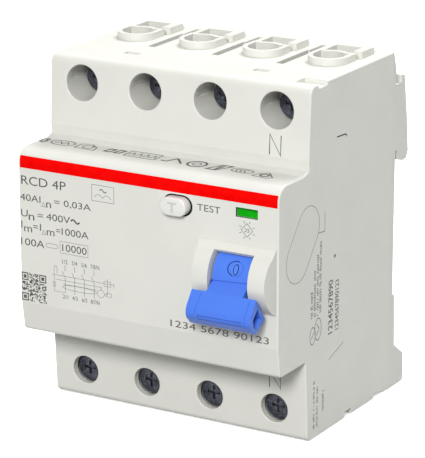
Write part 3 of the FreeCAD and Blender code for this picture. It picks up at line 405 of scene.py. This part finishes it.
def ribbon_into(bm, face, pts, width, closed=False, low=PRINT_LOW, top=PRINT_TOP):
    """A stroke of constant width along a polyline, with mitred corners."""
    n = len(pts)
    left, right = [], []
    for i in range(n):
        p = Vector(pts[i])
        if closed:
            a, b = Vector(pts[i - 1]), Vector(pts[(i + 1) % n])
        else:
            a = Vector(pts[i - 1]) if i > 0 else None
            b = Vector(pts[i + 1]) if i < n - 1 else None
        d0 = (p - a).normalized() if a is not None else None
        d1 = (b - p).normalized() if b is not None else None
        if d0 is None:
            d0 = d1
        if d1 is None:
            d1 = d0
        n0 = Vector((-d0.y, d0.x))
        n1 = Vector((-d1.y, d1.x))
        m = n0 + n1
        if m.length < 0.2:
            m = n0.copy()
        m.normalize()
        k = width / 2 / max(0.45, m.dot(n0))
        left.append(p + m * k)
        right.append(p - m * k)
    quad = lambda a, b, c, d: bm.faces.new((a, b, c, d))
    L0 = [bm.verts.new(face.at(p.x, p.y, low)) for p in left]
    L1 = [bm.verts.new(face.at(p.x, p.y, top)) for p in left]
    R0 = [bm.verts.new(face.at(p.x, p.y, low)) for p in right]
    R1 = [bm.verts.new(face.at(p.x, p.y, top)) for p in right]
    for i in range(n if closed else n - 1):
        j = (i + 1) % n
        quad(R1[i], R1[j], L1[j], L1[i])
        quad(L0[i], L0[j], R0[j], R0[i])
        quad(L1[i], L1[j], L0[j], L0[i])
        quad(R0[i], R0[j], R1[j], R1[i])
    if not closed:
        quad(L0[0], R0[0], R1[0], L1[0])
        quad(R0[-1], L0[-1], L1[-1], R1[-1])


def arc(cu, cv, ru, rv=None, a0=0.0, a1=360.0, n=32):
    rv = ru if rv is None else rv
    closed = abs(a1 - a0) >= 360
    steps = n if closed else n + 1
    return [(cu + ru * math.cos(math.radians(a0 + (a1 - a0) * i / n)), cv + rv * math.sin(math.radians(a0 + (a1 - a0) * i / n))) for i in range(steps)]


def strokes(name, face, lines, width, material=None, low=PRINT_LOW, top=PRINT_TOP, body="case"):
    """lines: list of (points, closed) or points."""
    bm = bmesh.new()
    for item in lines:
        pts, closed = item if isinstance(item, tuple) and isinstance(item[1], bool) else (item, False)
        ribbon_into(bm, face, pts, width, closed, low, top)
    bmesh.ops.recalc_face_normals(bm, faces=bm.faces)
    return new_piece(name, bm, material or m_ink, body)


def text_mesh(body_text, bold=0.0, spacing=1.0):
    cu = bpy.data.curves.new("glyphs", "FONT")
    cu.body = body_text
    cu.size = 1.0
    cu.extrude = 0.5
    cu.offset = bold
    cu.space_character = spacing
    cu.resolution_u = 4
    ob = bpy.data.objects.new("glyphs", cu)
    bpy.context.scene.collection.objects.link(ob)
    bpy.context.view_layer.update()
    dg = bpy.context.evaluated_depsgraph_get()
    me = bpy.data.meshes.new_from_object(ob.evaluated_get(dg))
    bpy.data.objects.remove(ob)
    bpy.data.curves.remove(cu)
    return me


def print_text(name, face, text, rect, material=None, bold=0.0, low=PRINT_LOW, top=PRINT_TOP, body="case",
               turn=0, wrap=None, spacing=1.0):
    """Writes text into the rectangle u0, u1, v0, v1 of a face, turned by quarter turns."""
    me = text_mesh(text, bold, spacing)
    co = [v.co.copy() for v in me.vertices]
    x0, x1 = min(c.x for c in co), max(c.x for c in co)
    y0, y1 = min(c.y for c in co), max(c.y for c in co)
    u0, u1, v0, v1 = rect
    for v, c in zip(me.vertices, co):
        s, t = (c.x - x0) / max(1e-9, x1 - x0), (c.y - y0) / max(1e-9, y1 - y0)
        if turn == 1:
            s, t = 1 - t, s
        elif turn == -1:
            s, t = t, 1 - s
        w = top if c.z > 0 else low
        u, q = u0 + (u1 - u0) * s, v0 + (v1 - v0) * t
        v.co = wrap(u, q, w) if wrap else face.at(u, q, w)
    bm = bmesh.new()
    bm.from_mesh(me)
    bpy.data.meshes.remove(me)
    bmesh.ops.remove_doubles(bm, verts=bm.verts, dist=1e-8)
    bmesh.ops.recalc_face_normals(bm, faces=bm.faces)
    return new_piece(name, bm, material or m_ink, body)


# ------------------------------------------------------------------ printing on the front panel
print_text("title_print", FRONT, "RCD 4P", (-34.25, -21.75, 13.9, 16.05))
print_text("rating_print_1", FRONT, "40AI", (-34.65, -28.9, 9.95, 11.6))
strokes("rating_print_1d", FRONT, [([(-28.65, 9.2), (-27.6, 9.2), (-28.12, 10.25)], True)], 0.12, m_ink_pale)
print_text("rating_print_1n", FRONT, "n", (-27.3, -25.95, 9.1, 10.4))
print_text("rating_print_1v", FRONT, "= 0,03A", (-25.05, -14.85, 9.8, 11.6))
print_text("rating_print_2", FRONT, "U", (-34.5, -32.6, 6.0, 7.75))
print_text("rating_print_2n", FRONT, "n", (-32.35, -30.75, 5.35, 6.7))
print_text("rating_print_2e", FRONT, "=", (-29.8, -28.25, 6.5, 7.2))
print_text("rating_print_2v", FRONT, "400V", (-27.35, -20.65, 6.05, 7.75))
strokes("rating_print_2s", FRONT, [[(-20.45 + 0.1 * i, 6.78 + 0.40 * math.sin(i * 2 * math.pi / 24.0)) for i in range(25)]], 0.40)
print_text("rating_print_3", FRONT, "I", (-34.5, -34.2, 3.1, 4.85))
print_text("rating_print_3m", FRONT, "m", (-33.7, -31.45, 2.35, 3.6))
print_text("rating_print_3e", FRONT, "=", (-31.1, -29.8, 3.55, 4.25))
print_text("rating_print_3i", FRONT, "I", (-29.2, -28.9, 3.1, 4.85))
strokes("rating_print_3d", FRONT, [([(-28.65, 2.35), (-27.6, 2.35), (-28.12, 3.4)], True)], 0.12, m_ink_pale)
print_text("rating_print_3n", FRONT, "m", (-27.3, -25.1, 2.35, 3.6))
print_text("rating_print_3q", FRONT, "=", (-24.65, -23.5, 3.55, 4.25))
print_text("rating_print_3a", FRONT, "1000A", (-23.1, -15.6, 3.05, 4.75))
print_text("rating_print_4", FRONT, "100A", (-34.65, -28.0, -1.05, 0.7))
strokes("fuse_print", FRONT, [(arc(-24.75, -0.12, 0.5, a0=-90, a1=90, n=10) + arc(-27.05, -0.12, 0.5, a0=90, a1=270, n=10), True)], 0.11, m_ink_pale)
print_text("rating_print_5", FRONT, "10000", (-23.0, -16.2, -0.9, 0.85))
strokes("rating_box_print", FRONT, [([(-23.62, -1.45), (-15.82, -1.45), (-15.82, 1.42), (-23.62, 1.42)], True)], 0.10, m_ink_pale)
print_text("test_print", FRONT, "TEST", (13.78, 19.9, 14.52, 16.1), m_ink)
print_text("panel_digits_print", FRONT, "1234 5678 90123", (6.6, 32.6, -14.42, -12.78))

# boxed wave symbol
wave = [(-13.9 + 0.1 * i, 13.95 + 0.75 * abs(math.sin(i * 2 * math.pi / 46.0)) - 0.35) for i in range(47)]
strokes("wave_symbol_box_print", FRONT, [([(-14.55, 12.72), (-8.5, 12.72), (-8.5, 16.6), (-14.55, 16.6)], True), wave], 0.12, m_ink_pale)
strokes("wave_symbol_print", FRONT, [[(-12.4 + 0.1 * i, 15.35 + 0.36 * math.sin(i * 2 * math.pi / 19.0)) for i in range(20)]], 0.22)

# painted shadow line along the fine step where the cowl over the handle meets the panel
strokes("cowl_step_shadow_line", FRONT, [[(14.5, 8.1), (34.5, 8.1)]], 0.13, m_groove, top=0.008)

# wiring diagram of a four-pole switch with a ring transformer and a test loop
dia, fine = [], []
poles = (-22.33, -19.65, -16.95, -14.22)
for x in poles:
    dia.append([(x, -4.3), (x, -5.75)])
    dia.append([(x - 0.75, -5.95), (x, -7.3), (x, -11.2)])
fine.append([(-25.4, -4.9), (-25.4, -11.1), (-22.35, -11.1)])
fine.append([(-25.4, -4.9), (-24.6, -4.9), (-24.6, -6.6)])
fine.append([(-25.9, -7.05), (-8.75, -7.05)])
fine.append([(-25.0, -8.15), (-12.2, -8.15), (-12.2, -9.0)])
fine.append([(-22.9, -9.05), (-13.4, -9.05)])
fine.append(([(-25.75, -8.9), (-25.05, -8.9), (-25.05, -9.9), (-25.75, -9.9)], True))
fine.append((arc(-18.3, -9.7, 4.8, 0.62, n=40), True))
fine.append((arc(-12.35, -9.75, 0.95, n=24), True))
fine.append(([(-11.45, -6.5), (-9.6, -6.5), (-9.6, -7.7), (-11.45, -7.7)], True))
fine.append([(-10.5, -5.9), (-10.5, -9.75), (-11.4, -9.75)])
fine.append(([(-10.9, -9.3), (-9.5, -9.3), (-9.5, -10.15), (-10.9, -10.15)], True))
fine.append([(-8.75, -6.7), (-8.75, -7.9)])
strokes("diagram_print", FRONT, dia, 0.13, m_ink_pale)
strokes("diagram_fine_print", FRONT, fine, 0.10, m_ink_pale)
for i, (x, top_label, low_label) in enumerate(zip(poles, ("1/2", "3/4", "5/6", "7/8/N"), ("2/1", "4/3", "6/5", "8/7/N"))):
    w0, w1 = (x - 0.75, x + 0.75) if len(top_label) == 3 else (x - 0.95, x + 1.45)
    print_text("diagram_top_label_%d" % (i + 1), FRONT, top_label, (w0, w1, -4.0, -2.95), m_ink)
    print_text("diagram_low_label_%d" % (i + 1), FRONT, low_label, (w0, w1, -12.6, -11.6), m_ink)

# temperature mark: a small diamond with rays outside its sides
TX, TZ = 26.8, 11.72
rays = []
for k in range(8):
    a = math.radians(22.5 + 45 * k)
    rays.append([(TX + math.cos(a) * 1.55, TZ + math.sin(a) * 1.65), (TX + math.cos(a) * 2.15, TZ + math.sin(a) * 2.25)])
strokes("temperature_mark_print", FRONT, [([(TX - 1.5, TZ), (TX, TZ - 1.6), (TX + 1.5, TZ), (TX, TZ + 1.6)], True)] + rays, 0.12, m_ink)
print_text("temperature_value_print", FRONT, "25", (TX - 0.64, TX + 0.66, TZ - 0.46, TZ + 0.46), m_ink)

# square dot pattern: random modules with a ring in three corners
rnd = random.Random(11)
bm = bmesh.new()
cells, u0, v0, size = 25, -34.75, -14.85, 7.05
step = size / cells
dark = [[rnd.random() < 0.5 for _ in range(cells)] for _ in range(cells)]
for cx, cy in ((0, 0), (0, cells - 7), (cells - 7, cells - 7)):
    for i in range(-1, 8):
        for j in range(-1, 8):
            if 0 <= cx + i < cells and 0 <= cy + j < cells:
                ring = max(abs(i - 3), abs(j - 3))
                dark[cx + i][cy + j] = ring in (0, 1, 3)
for i in range(cells):
    for j in range(cells):
        if dark[i][j]:
            a, b = u0 + i * step, v0 + j * step
            prism_into(bm, FRONT, [(a, b), (a + step, b), (a + step, b + step), (a, b + step)])
bmesh.ops.remove_doubles(bm, verts=bm.verts, dist=1e-7)
inner = [f for f in bm.faces if len({id(e) for e in f.edges}) == 4 and all(len(e.link_faces) > 2 for e in f.edges) and abs(f.normal.y) < 0.5]
bmesh.ops.delete(bm, geom=inner, context="FACES_ONLY")
bmesh.ops.recalc_face_normals(bm, faces=bm.faces)
new_piece("code_square_print", bm, m_ink, "case")

# generic outlines in a row on top of the nose
marks, marks_bold = [], []


def add(pts, closed=True, bold=False):
    (marks_bold if bold else marks).append((pts, closed))


add([(-35.0 + 0.5, -0.9), (-34.6, 1.2), (-33.9, 1.9), (-33.0, 1.6), (-32.6, -0.6), (-33.0, -1.9)])
add(arc(-33.6, 0.0, 0.5, 1.1, n=14))
add(arc(-28.3, 0.1, 3.15, 2.1, n=36))
add([(-30.2, -0.7), (-29.3, 0.9), (-28.3, -0.7), (-27.3, 0.9), (-26.4, -0.7)], False)
add([(-24.0, -1.9), (-24.0, 1.5), (-21.6, 2.6), (-19.0, 0.2), (-18.5, -2.2)])
add(arc(-21.3, 0.0, 1.3, 1.3, n=18))
add([(-16.1, -1.3), (-15.6, 1.2), (-14.1, 1.2), (-14.6, -1.3)], True, True)
add([(-13.4, -1.3), (-12.9, 1.2), (-11.5, 1.2), (-12.0, -1.3)], True, True)
add([(-10.2, -2.2), (-10.2, 2.2), (-1.9, 2.2), (-1.9, -2.2)])
for k in range(4):
    add([(-9.5 + 1.9 * k, -1.1), (-8.8 + 1.9 * k, 1.1), (-8.1 + 1.9 * k, -1.1)], False)
add([(-0.4, -1.5), (1.2, -1.5), (2.4, 1.7)], False, True)
add([(2.4, 1.7), (5.2, -1.9)], False, True)
add(arc(8.6, -0.25, 2.25, 2.35, n=40), True, True)
add(arc(8.6, -0.25, 0.95, 1.1, n=20))
add([(12.3, -2.5), (14.4, -2.5), (14.2, 2.0)], True, True)
add([(14.9, -2.3), (14.9, 2.0), (16.9, 2.0)], True, True)
add(arc(20.5, -0.1, 2.75, 1.6, n=30))
for k in range(3):
    add(arc(19.5 + 1.05 * k, -0.1, 0.55, 0.85, 60, 300, n=12), False)
add([(24.2, -2.4), (24.9, -0.3), (26.7, 1.5), (29.2, -1.8), (28.2, -2.9)])
add(arc(26.7, -0.9, 1.0, 0.95, n=18), True, True)
strokes("approval_outline_print", NOSE_TOP, marks, 0.30, m_ink)
strokes("approval_outline_bold_print", NOSE_TOP, marks_bold, 0.56, m_ink)

# ------------------------------------------------------------------ engraved N over and under the fourth pole
def over_shoulder(z):
    return (z - 42.5) * math.hypot(0.9, 17.0) / 17.0


def over_foot(z):
    return (z + 42.5) * math.hypot(1.2, 20.0) / 20.0


def letter_n(name, face, u0, u1, v0, v1):
    strokes(name, face, [[(u0, v0), (u0, v1), (u1, v0), (u1, v1)]], 0.24, m_ink)


letter_n("upper_pole_letter", SHOULDER, 24.75, 27.65, over_shoulder(25.9), over_shoulder(30.6))
letter_n("lower_pole_letter", FOOT, 25.2, 28.1, over_foot(-30.3), over_foot(-25.9))

# ------------------------------------------------------------------ marks on the right side
# painted shade: the tab line and the diagonal line are dark lines standing for the shade in the side's grooves
strokes("side_tab_line", SIDE_R, [[(-35.8, 11.8), (-35.8, 7.1), (-38.8, 7.4)]], 0.20, m_groove_shade, low=-0.03, top=0.004)
strokes("side_diagonal_line", SIDE_R, [[(-33.1, -25.1), (-25.7, -22.9)]], 0.18, m_groove_shade, low=-0.03, top=0.004)
# painted shadow: a near-black line where the side has a fine slit
strokes("side_slit_shadow", SIDE_R, [[(-30.4, 28.25), (-25.9, 28.0), (-25.3, 27.3)]], 0.30, m_gap_shadow, low=-0.03, top=0.004)
print_text("side_digits_1", SIDE_R, "1234567890", (-33.6, -31.3, -18.9, -5.65), m_ink, bold=0.02, low=-0.03, top=0.004, turn=1)
print_text("side_digits_2", SIDE_R, "1234567890123", (-30.2, -28.3, -18.8, -6.4), m_ink, bold=0.015, low=-0.03, top=0.004, turn=1)


pu, pv = math.cos(math.radians(51.0)), math.sin(math.radians(51.0))
# painted shade in the groove round the knockout plug
strokes("side_plug_outline", SIDE_R, [([(-46.3 + s * 4.0 * pu + 5.34 * math.cos(math.radians(b)), 6.6 + s * 4.0 * pv + 5.34 * math.sin(math.radians(b)))
                                        for s, b in [(1, 51 - 90 + 9 * k) for k in range(21)] + [(-1, 51 + 90 + 9 * k) for k in range(21)]], True)],
        0.14, m_groove_shade, low=-0.03, top=0.004)


def tick_rows(name, rows, material):
    """Rows of short bars of uneven length, where the real case has tiny moulded characters."""
    pick = random.Random(5)
    lines = []
    for y, tall, z0, z1 in rows:
        z = z0
        while z < z1:
            kind = pick.random()
            if kind < 0.78:
                a = y - tall / 2 * pick.uniform(0.6, 1.0)
                b = y + tall / 2 * pick.uniform(0.6, 1.0)
                lines.append([(a, z), (b, z)])
                if pick.random() < 0.5:
                    lines.append([(a, z), (a, z + 0.26)])
                if pick.random() < 0.4:
                    lines.append([(b, z), (b, z + 0.26)])
            z += pick.uniform(0.36, 0.48)
    return strokes(name, SIDE_R, lines, 0.20, material, low=-0.03, top=0.004)


tick_rows("side_bar_rows", [(-37.6, 1.0, -12.0, 5.3), (-38.9, 1.0, -12.4, 2.3), (-40.3, 1.0, -12.4, -1.0), (-41.8, 1.0, -12.4, -6.2),
                            (-40.2, 0.7, -40.0, -28.3), (-38.6, 0.7, -40.0, -30.2), (-35.7, 1.0, -36.8, -32.0)], m_ink)
strokes("side_ring_outlines", SIDE_R, [(arc(-38.6, -15.9, 1.6, 2.7, n=30), True), (arc(-41.2, -16.9, 1.3, 2.1, n=26), True),
                                       [(-39.3, -17.3), (-38.0, -15.9), (-39.3, -14.5)], [(-41.8, -17.6), (-40.7, -16.2)]], 0.22, m_ink, low=-0.03, top=0.004)
# painted shade: a small dark dot in the groove shade colour
bm = bmesh.new()
prism_into(bm, SIDE_R, arc(-30.6, -0.25, 0.46, n=16), low=-0.03, top=0.004)
bmesh.ops.recalc_face_normals(bm, faces=bm.faces)
new_piece("side_dot", bm, m_groove_shade, "case")

# ------------------------------------------------------------------ test button: domed oval cap with a raised letter
BX, BZ, HALF, R0 = 8.55, 15.0, 1.35, 2.12


def oval(inset, n=14):
    r = max(0.02, R0 - inset)
    pts = []
    for i in range(n + 1):
        a = -90 + 180 * i / n
        pts.append((BX + HALF + r * math.cos(math.radians(a)), BZ + r * math.sin(math.radians(a))))
    for i in range(n + 1):
        a = 90 + 180 * i / n
        pts.append((BX - HALF + r * math.cos(math.radians(a)), BZ + r * math.sin(math.radians(a))))
    return pts


def dome(x, z):
    """Height of the cap's face above the start of its rounded edge, in mm: a pillow with a soft shoulder."""
    dx = max(0.0, abs(x - BX) - HALF)
    d = min(1.0, math.hypot(dx, z - BZ) / R0)
    edge = 0.28 * math.sqrt(max(0.0, 1 - max(0.0, (d - 0.86) / 0.14) ** 2))
    e = ((x - BX) / (HALF + R0)) ** 2 + 0.8 * ((z - BZ) / R0) ** 2
    return edge + 0.27 * (1 - min(1.0, e))


RIM = -59.65
bm = bmesh.new()
rings = []
profile = [(-0.55, -54.4), (-0.55, -55.45), (0.0, -55.45), (0.0, -57.2), (0.0, -58.2), (0.0, RIM + 0.02)]
for inset, y in profile:
    rings.append([bm.verts.new((x * MM, y * MM, z * MM)) for x, z in oval(inset, 20)])
for k in range(1, 17):
    inset = (R0 - 0.04) * (1 - math.cos(k / 16.0 * math.pi / 2))
    rings.append([bm.verts.new((x * MM, (RIM - dome(x, z)) * MM, z * MM)) for x, z in oval(inset, 20)])
for a, b in zip(rings, rings[1:]):
    n = len(a)
    for i in range(n):
        j = (i + 1) % n
        bm.faces.new((a[i], a[j], b[j], b[i]))
bm.faces.new(rings[-1])
# stem behind the flange
stem_r, back = 1.2, []
bm.faces.new(list(reversed(rings[0])))
stem0 = [bm.verts.new(((BX + stem_r * math.cos(a)) * MM, -54.5 * MM, (BZ + stem_r * math.sin(a)) * MM)) for a in [math.tau * i / 24 for i in range(24)]]
stem1 = [bm.verts.new(((BX + stem_r * math.cos(a)) * MM, -49.5 * MM, (BZ + stem_r * math.sin(a)) * MM)) for a in [math.tau * i / 24 for i in range(24)]]
for i in range(24):
    j = (i + 1) % 24
    bm.faces.new((stem0[i], stem0[j], stem1[j], stem1[i]))
bm.faces.new(stem1)
bm.faces.new(list(reversed(stem0)))
bmesh.ops.recalc_face_normals(bm, faces=bm.faces)
cap = new_piece("test_button_cap", bm, m_button, "button", smooth=True)
cap.data.set_sharp_from_angle(angle=math.radians(50))
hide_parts("test_button")

bm = bmesh.new()


class OnDome:
    def at(self, u, v, w):
        return Vector((u, RIM - dome(u, v) - w, v)) * MM


def dense(a, b, n=6):
    return [(a[0] + (b[0] - a[0]) * i / n, a[1] + (b[1] - a[1]) * i / n) for i in range(n + 1)]


# painted shade: the raised T uses a darker copy of the cap plastic, standing for the shade round its edges
ribbon_into(bm, OnDome(), dense((BX - 1.15, BZ + 1.0), (BX + 1.15, BZ + 1.0)), 0.42, low=-0.15, top=0.13)
ribbon_into(bm, OnDome(), dense((BX, BZ + 0.82), (BX, BZ - 1.1)), 0.42, low=-0.15, top=0.125)
bmesh.ops.recalc_face_normals(bm, faces=bm.faces)
letter_t = new_piece("test_button_letter", bm, m_button_letter_shade, "button")
bev = letter_t.modifiers.new("round", "BEVEL")
bev.width = 0.06 * MM
bev.segments = 2
bev.limit_method = "ANGLE"

# painted shadow: a near-black ring just inside the button's opening, where the gap round the cap is in shade; its
# inner edge follows the cap, its outer edge the opening
def stadium(cx, cz, half, r, n=20):
    right = [(cx + half + r * math.cos(math.radians(-90 + 180 * i / n)), cz + r * math.sin(math.radians(-90 + 180 * i / n))) for i in range(n + 1)]
    left = [(cx - half + r * math.cos(math.radians(90 + 180 * i / n)), cz + r * math.sin(math.radians(90 + 180 * i / n))) for i in range(n + 1)]
    return right + left


bm = bmesh.new()
shadow_outlines = []
for outline, y in ((stadium(8.7, 15.0, 1.4, 2.6), -57.62), (stadium(8.7, 15.0, 1.4, 2.6), -56.2),
                   (stadium(BX, BZ, HALF, R0 + 0.06), -56.2), (stadium(BX, BZ, HALF, R0 + 0.06), -57.62)):
    shadow_outlines.append([bm.verts.new((x * MM, y * MM, z * MM)) for x, z in outline])
for k in range(4):
    a, b = shadow_outlines[k], shadow_outlines[(k + 1) % 4]
    n = len(a)
    for i in range(n):
        j = (i + 1) % n
        bm.faces.new((a[i], a[j], b[j], b[i]))
bmesh.ops.recalc_face_normals(bm, faces=bm.faces)
new_piece("test_button_shadow_ring", bm, m_gap_shadow, "case", smooth=False)

# painted shade: a dark green edge just inside the indicator window's opening, where the recessed flag is in shade
bm = bmesh.new()
ring_pts = []
for x0, x1, z0, z1, y in ((23.8, 29.7, 14.45, 16.9, -57.63), (23.8, 29.7, 14.45, 16.9, -57.1), (23.96, 29.56, 14.58, 16.68, -57.1), (23.96, 29.56, 14.58, 16.68, -57.63)):
    ring_pts.append([bm.verts.new((x * MM, y * MM, z * MM)) for x, z in ((x0, z0), (x1, z0), (x1, z1), (x0, z1))])
for k in range(4):
    a, b = ring_pts[k], ring_pts[(k + 1) % 4]
    for i in range(4):
        j = (i + 1) % 4
        bm.faces.new((a[i], a[j], b[j], b[i]))
bmesh.ops.recalc_face_normals(bm, faces=bm.faces)
new_piece("indicator_window_shade_edge", bm, m_flag_edge_shade, "case", smooth=False)

# ------------------------------------------------------------------ toggle: off mark wrapped round the drum
AY, AZ, DR = -54.5, 0.1, 6.5


def on_drum(u, deg_mm, w):
    """u is X in mm; the second number is the arc length up from the drum's front line."""
    a = deg_mm / DR
    r = DR + w
    return Vector((u, AY - r * math.cos(a), AZ + r * math.sin(a))) * MM


class Drum:
    at = staticmethod(on_drum)


def drum_marks(name, cx, centre):
    """An engraved zero in a ring, drawn as painted shade and painted highlight: dark on the side away from the light,
    a fainter shade on the other, and brighter highlight lines along the zero.
    """
    shade_lines = [(arc(cx, centre, 1.95, 1.75, 75, 255, n=30), False), (arc(cx + 0.15, centre - 0.2, 0.62, 1.16, n=36), True)]
    faint_shade_lines = [(arc(cx, centre, 1.95, 1.75, -105, 75, n=30), False)]
    highlight_lines = [(arc(cx + 0.15, centre - 0.2, 0.36, 0.88, n=30), True), (arc(cx + 0.15, centre - 0.2, 0.84, 1.38, 100, 260, n=20), False)]
    for tag, lines, width, look in (("dark", shade_lines, 0.26, m_toggle_mark_shade), ("pale", faint_shade_lines, 0.14, m_toggle_mid_shade), ("highlight", highlight_lines, 0.13, m_toggle_mark_highlight)):
        bm = bmesh.new()
        for pts, closed in lines:
            ribbon_into(bm, Drum(), pts, width, closed, low=-0.1, top=0.035)
        bmesh.ops.recalc_face_normals(bm, faces=bm.faces)
        new_piece("%s_%s" % (name, tag), bm, look, "toggle")


drum_marks("off_mark", 25.3, 3.2)


def filleted(pts, radii, n=10):
    """Corner points with their arcs, as the handle's own outline has them."""
    out = []
    for k, (p, rad) in enumerate(zip(pts, radii)):
        p = Vector(p)
        if not rad:
            out.append(p)
            continue
        da = (Vector(pts[k - 1]) - p).normalized()
        db = (Vector(pts[k + 1]) - p).normalized()
        th = math.acos(da.dot(db))
        c = p + (da + db).normalized() * rad / math.sin(th / 2)
        s0, s1 = p + da * rad / math.tan(th / 2), p + db * rad / math.tan(th / 2)
        a0, a1 = math.atan2(s0.y - c.y, s0.x - c.x), math.atan2(s1.y - c.y, s1.x - c.x)
        d = (a1 - a0 + math.pi) % math.tau - math.pi
        out += [c + Vector((math.cos(a0 + d * i / n), math.sin(a0 + d * i / n))) * rad for i in range(n + 1)]
    return out


GRIP = filleted([(-63.85, -2.05), (-66.3, -5.3), (-67.1, -7.4), (-64.2, -10.2), (-59.9, -7.5)], [0, 4.0, 2.4, 0.9, 0])


class OnGrip:
    """u is X in mm; v is the length along the grip's outline, from its back top edge forward and down."""

    @staticmethod
    def at(u, v, w):
        left = v
        for a, b in zip(GRIP, GRIP[1:]):
            d = (b - a).length
            if left <= d or b is GRIP[-1]:
                t = (b - a) / d
                q = a + t * left + Vector((t.y, -t.x)) * w
                return Vector((u, q.x, q.y)) * MM
            left -= d


def grip_lines(name, lines, width, look, low=-0.12, top=0.02):
    bm = bmesh.new()
    for pts in lines:
        ribbon_into(bm, OnGrip(), pts, width, False, low=low, top=top)
    bmesh.ops.recalc_face_normals(bm, faces=bm.faces)
    return new_piece(name, bm, look, "toggle")


def run(a, b, n=16):
    return [(a[0] + (b[0] - a[0]) * i / n, a[1] + (b[1] - a[1]) * i / n) for i in range(n + 1)]


# painted shade: the grip's end creases and its low double groove are drawn as darker blue lines
grip_lines("grip_end_crease_shade", [run((18.7, 0.5), (18.35, 5.3), 24), run((31.25, 0.6), (31.25, 7.4), 30)], 0.14, m_toggle_mid_shade)
grip_lines("grip_low_groove_shade", [run((19.2, 5.9), (30.4, 5.75)), run((19.2, 6.85), (30.6, 6.65)), run((19.2, 5.9), (19.2, 6.85), 4)], 0.17, m_toggle_dim_shade)

# line of painted shade where the neck leaves the drum, and the small stop ear at the drum's left end, coloured a
# darker blue as painted shade
bm = bmesh.new()
ribbon_into(bm, Drum(), run((19.75, -0.28), (29.05, 0.28)), 0.15, False, low=-0.1, top=0.02)
bmesh.ops.recalc_face_normals(bm, faces=bm.faces)
new_piece("drum_neck_shade_line", bm, m_toggle_dim_shade, "toggle")
bm = bmesh.new()
ear = []
for x in (19.32, 19.82):
    ear.append([bm.verts.new(on_drum(x, v, w)) for v, w in ((-1.3, -0.2), (-1.05, 0.45), (-0.6, 0.38), (-0.2, 0.05), (0.05, -0.2))])
for i in range(5):
    j = (i + 1) % 5
    bm.faces.new((ear[0][i], ear[0][j], ear[1][j], ear[1][i]))
bm.faces.new(ear[1])
bm.faces.new(list(reversed(ear[0])))
bmesh.ops.recalc_face_normals(bm, faces=bm.faces)
new_piece("drum_stop_ear", bm, m_toggle_deep_shade, "toggle")

# ------------------------------------------------------------------ floor, light and camera
bm = bmesh.new()
bmesh.ops.create_grid(bm, x_segments=1, y_segments=1, size=2.5)
me = bpy.data.meshes.new("floor")
bm.to_mesh(me)
bm.free()
floor = bpy.data.objects.new("floor", me)
floor.location = (0, 0, cad_low.z - 0.0002)
bpy.context.scene.collection.objects.link(floor)
f = Net("floor_look")
sweep = f.noise(3.0, 2.0, 0.5)
f.b.inputs["Emission Color"].default_value = (1.0, 1.0, 1.0, 1.0)
f.b.inputs["Emission Strength"].default_value = 0.36
me.materials.append(f.done(f.mix(f.ramp(sweep, 0.3, 0.7), (0.93, 0.93, 0.925), (0.955, 0.955, 0.95)), 0.75))
floor.visible_diffuse = False

world = bpy.data.worlds.new("studio")
bpy.context.scene.world = world
world.use_nodes = True
world.node_tree.nodes["Background"].inputs["Color"].default_value = (1.0, 1.0, 1.0, 1.0)
wt = world.node_tree
direction = wt.nodes.new("ShaderNodeTexCoord")
height = wt.nodes.new("ShaderNodeSeparateXYZ")
level = wt.nodes.new("ShaderNodeMapRange")
level.inputs["From Min"].default_value = -0.25
level.inputs["From Max"].default_value = 0.25
level.inputs["To Min"].default_value = 0.31
level.inputs["To Max"].default_value = 0.50
wt.links.new(direction.outputs["Generated"], height.inputs[0])
wt.links.new(height.outputs["Z"], level.inputs["Value"])
wt.links.new(level.outputs["Result"], wt.nodes["Background"].inputs["Strength"])


def area(name, at, aim, size_x, size_y, watts, colour=(1, 1, 1)):
    li = bpy.data.lights.new(name, "AREA")
    li.shape = "RECTANGLE"
    li.size, li.size_y = size_x, size_y
    li.energy = watts
    li.color = colour
    o = bpy.data.objects.new(name, li)
    o.location = at
    o.rotation_euler = (Vector(aim) - Vector(at)).to_track_quat("-Z", "Y").to_euler()
    bpy.context.scene.collection.objects.link(o)
    return o


LIGHTS = [
    ("top_back", (0.02, 0.47, 0.79), 0.6, 0.5, 9.6),
    ("key_front", (0.30, -0.81, 0.455), 0.26, 0.22, 8.4),
]
for light_name, at, sx, sy, watts in LIGHTS:
    area(light_name, at, (0, -0.03, 0), sx, sy, watts)

scene = bpy.context.scene
scene.view_settings.view_transform = "Standard"
scene.view_settings.look = "None"
scene.view_settings.exposure = 0.0
scene.view_settings.gamma = 1.0

cam_data = bpy.data.cameras.new("camera")
cam = bpy.data.objects.new("camera", cam_data)
cam_data.lens = 204.61
cam_data.sensor_width = 36.0
cam_data.sensor_fit = "AUTO"
cam_data.clip_start, cam_data.clip_end = 0.01, 20.0
cam.location = (0.30197, -0.54408, 0.18035)
cam.rotation_mode = "QUATERNION"
cam.rotation_quaternion = (Vector((0.001669, -0.030, 0.001037)) - cam.location).to_track_quat("-Z", "Y")
scene.collection.objects.link(cam)
scene.camera = cam
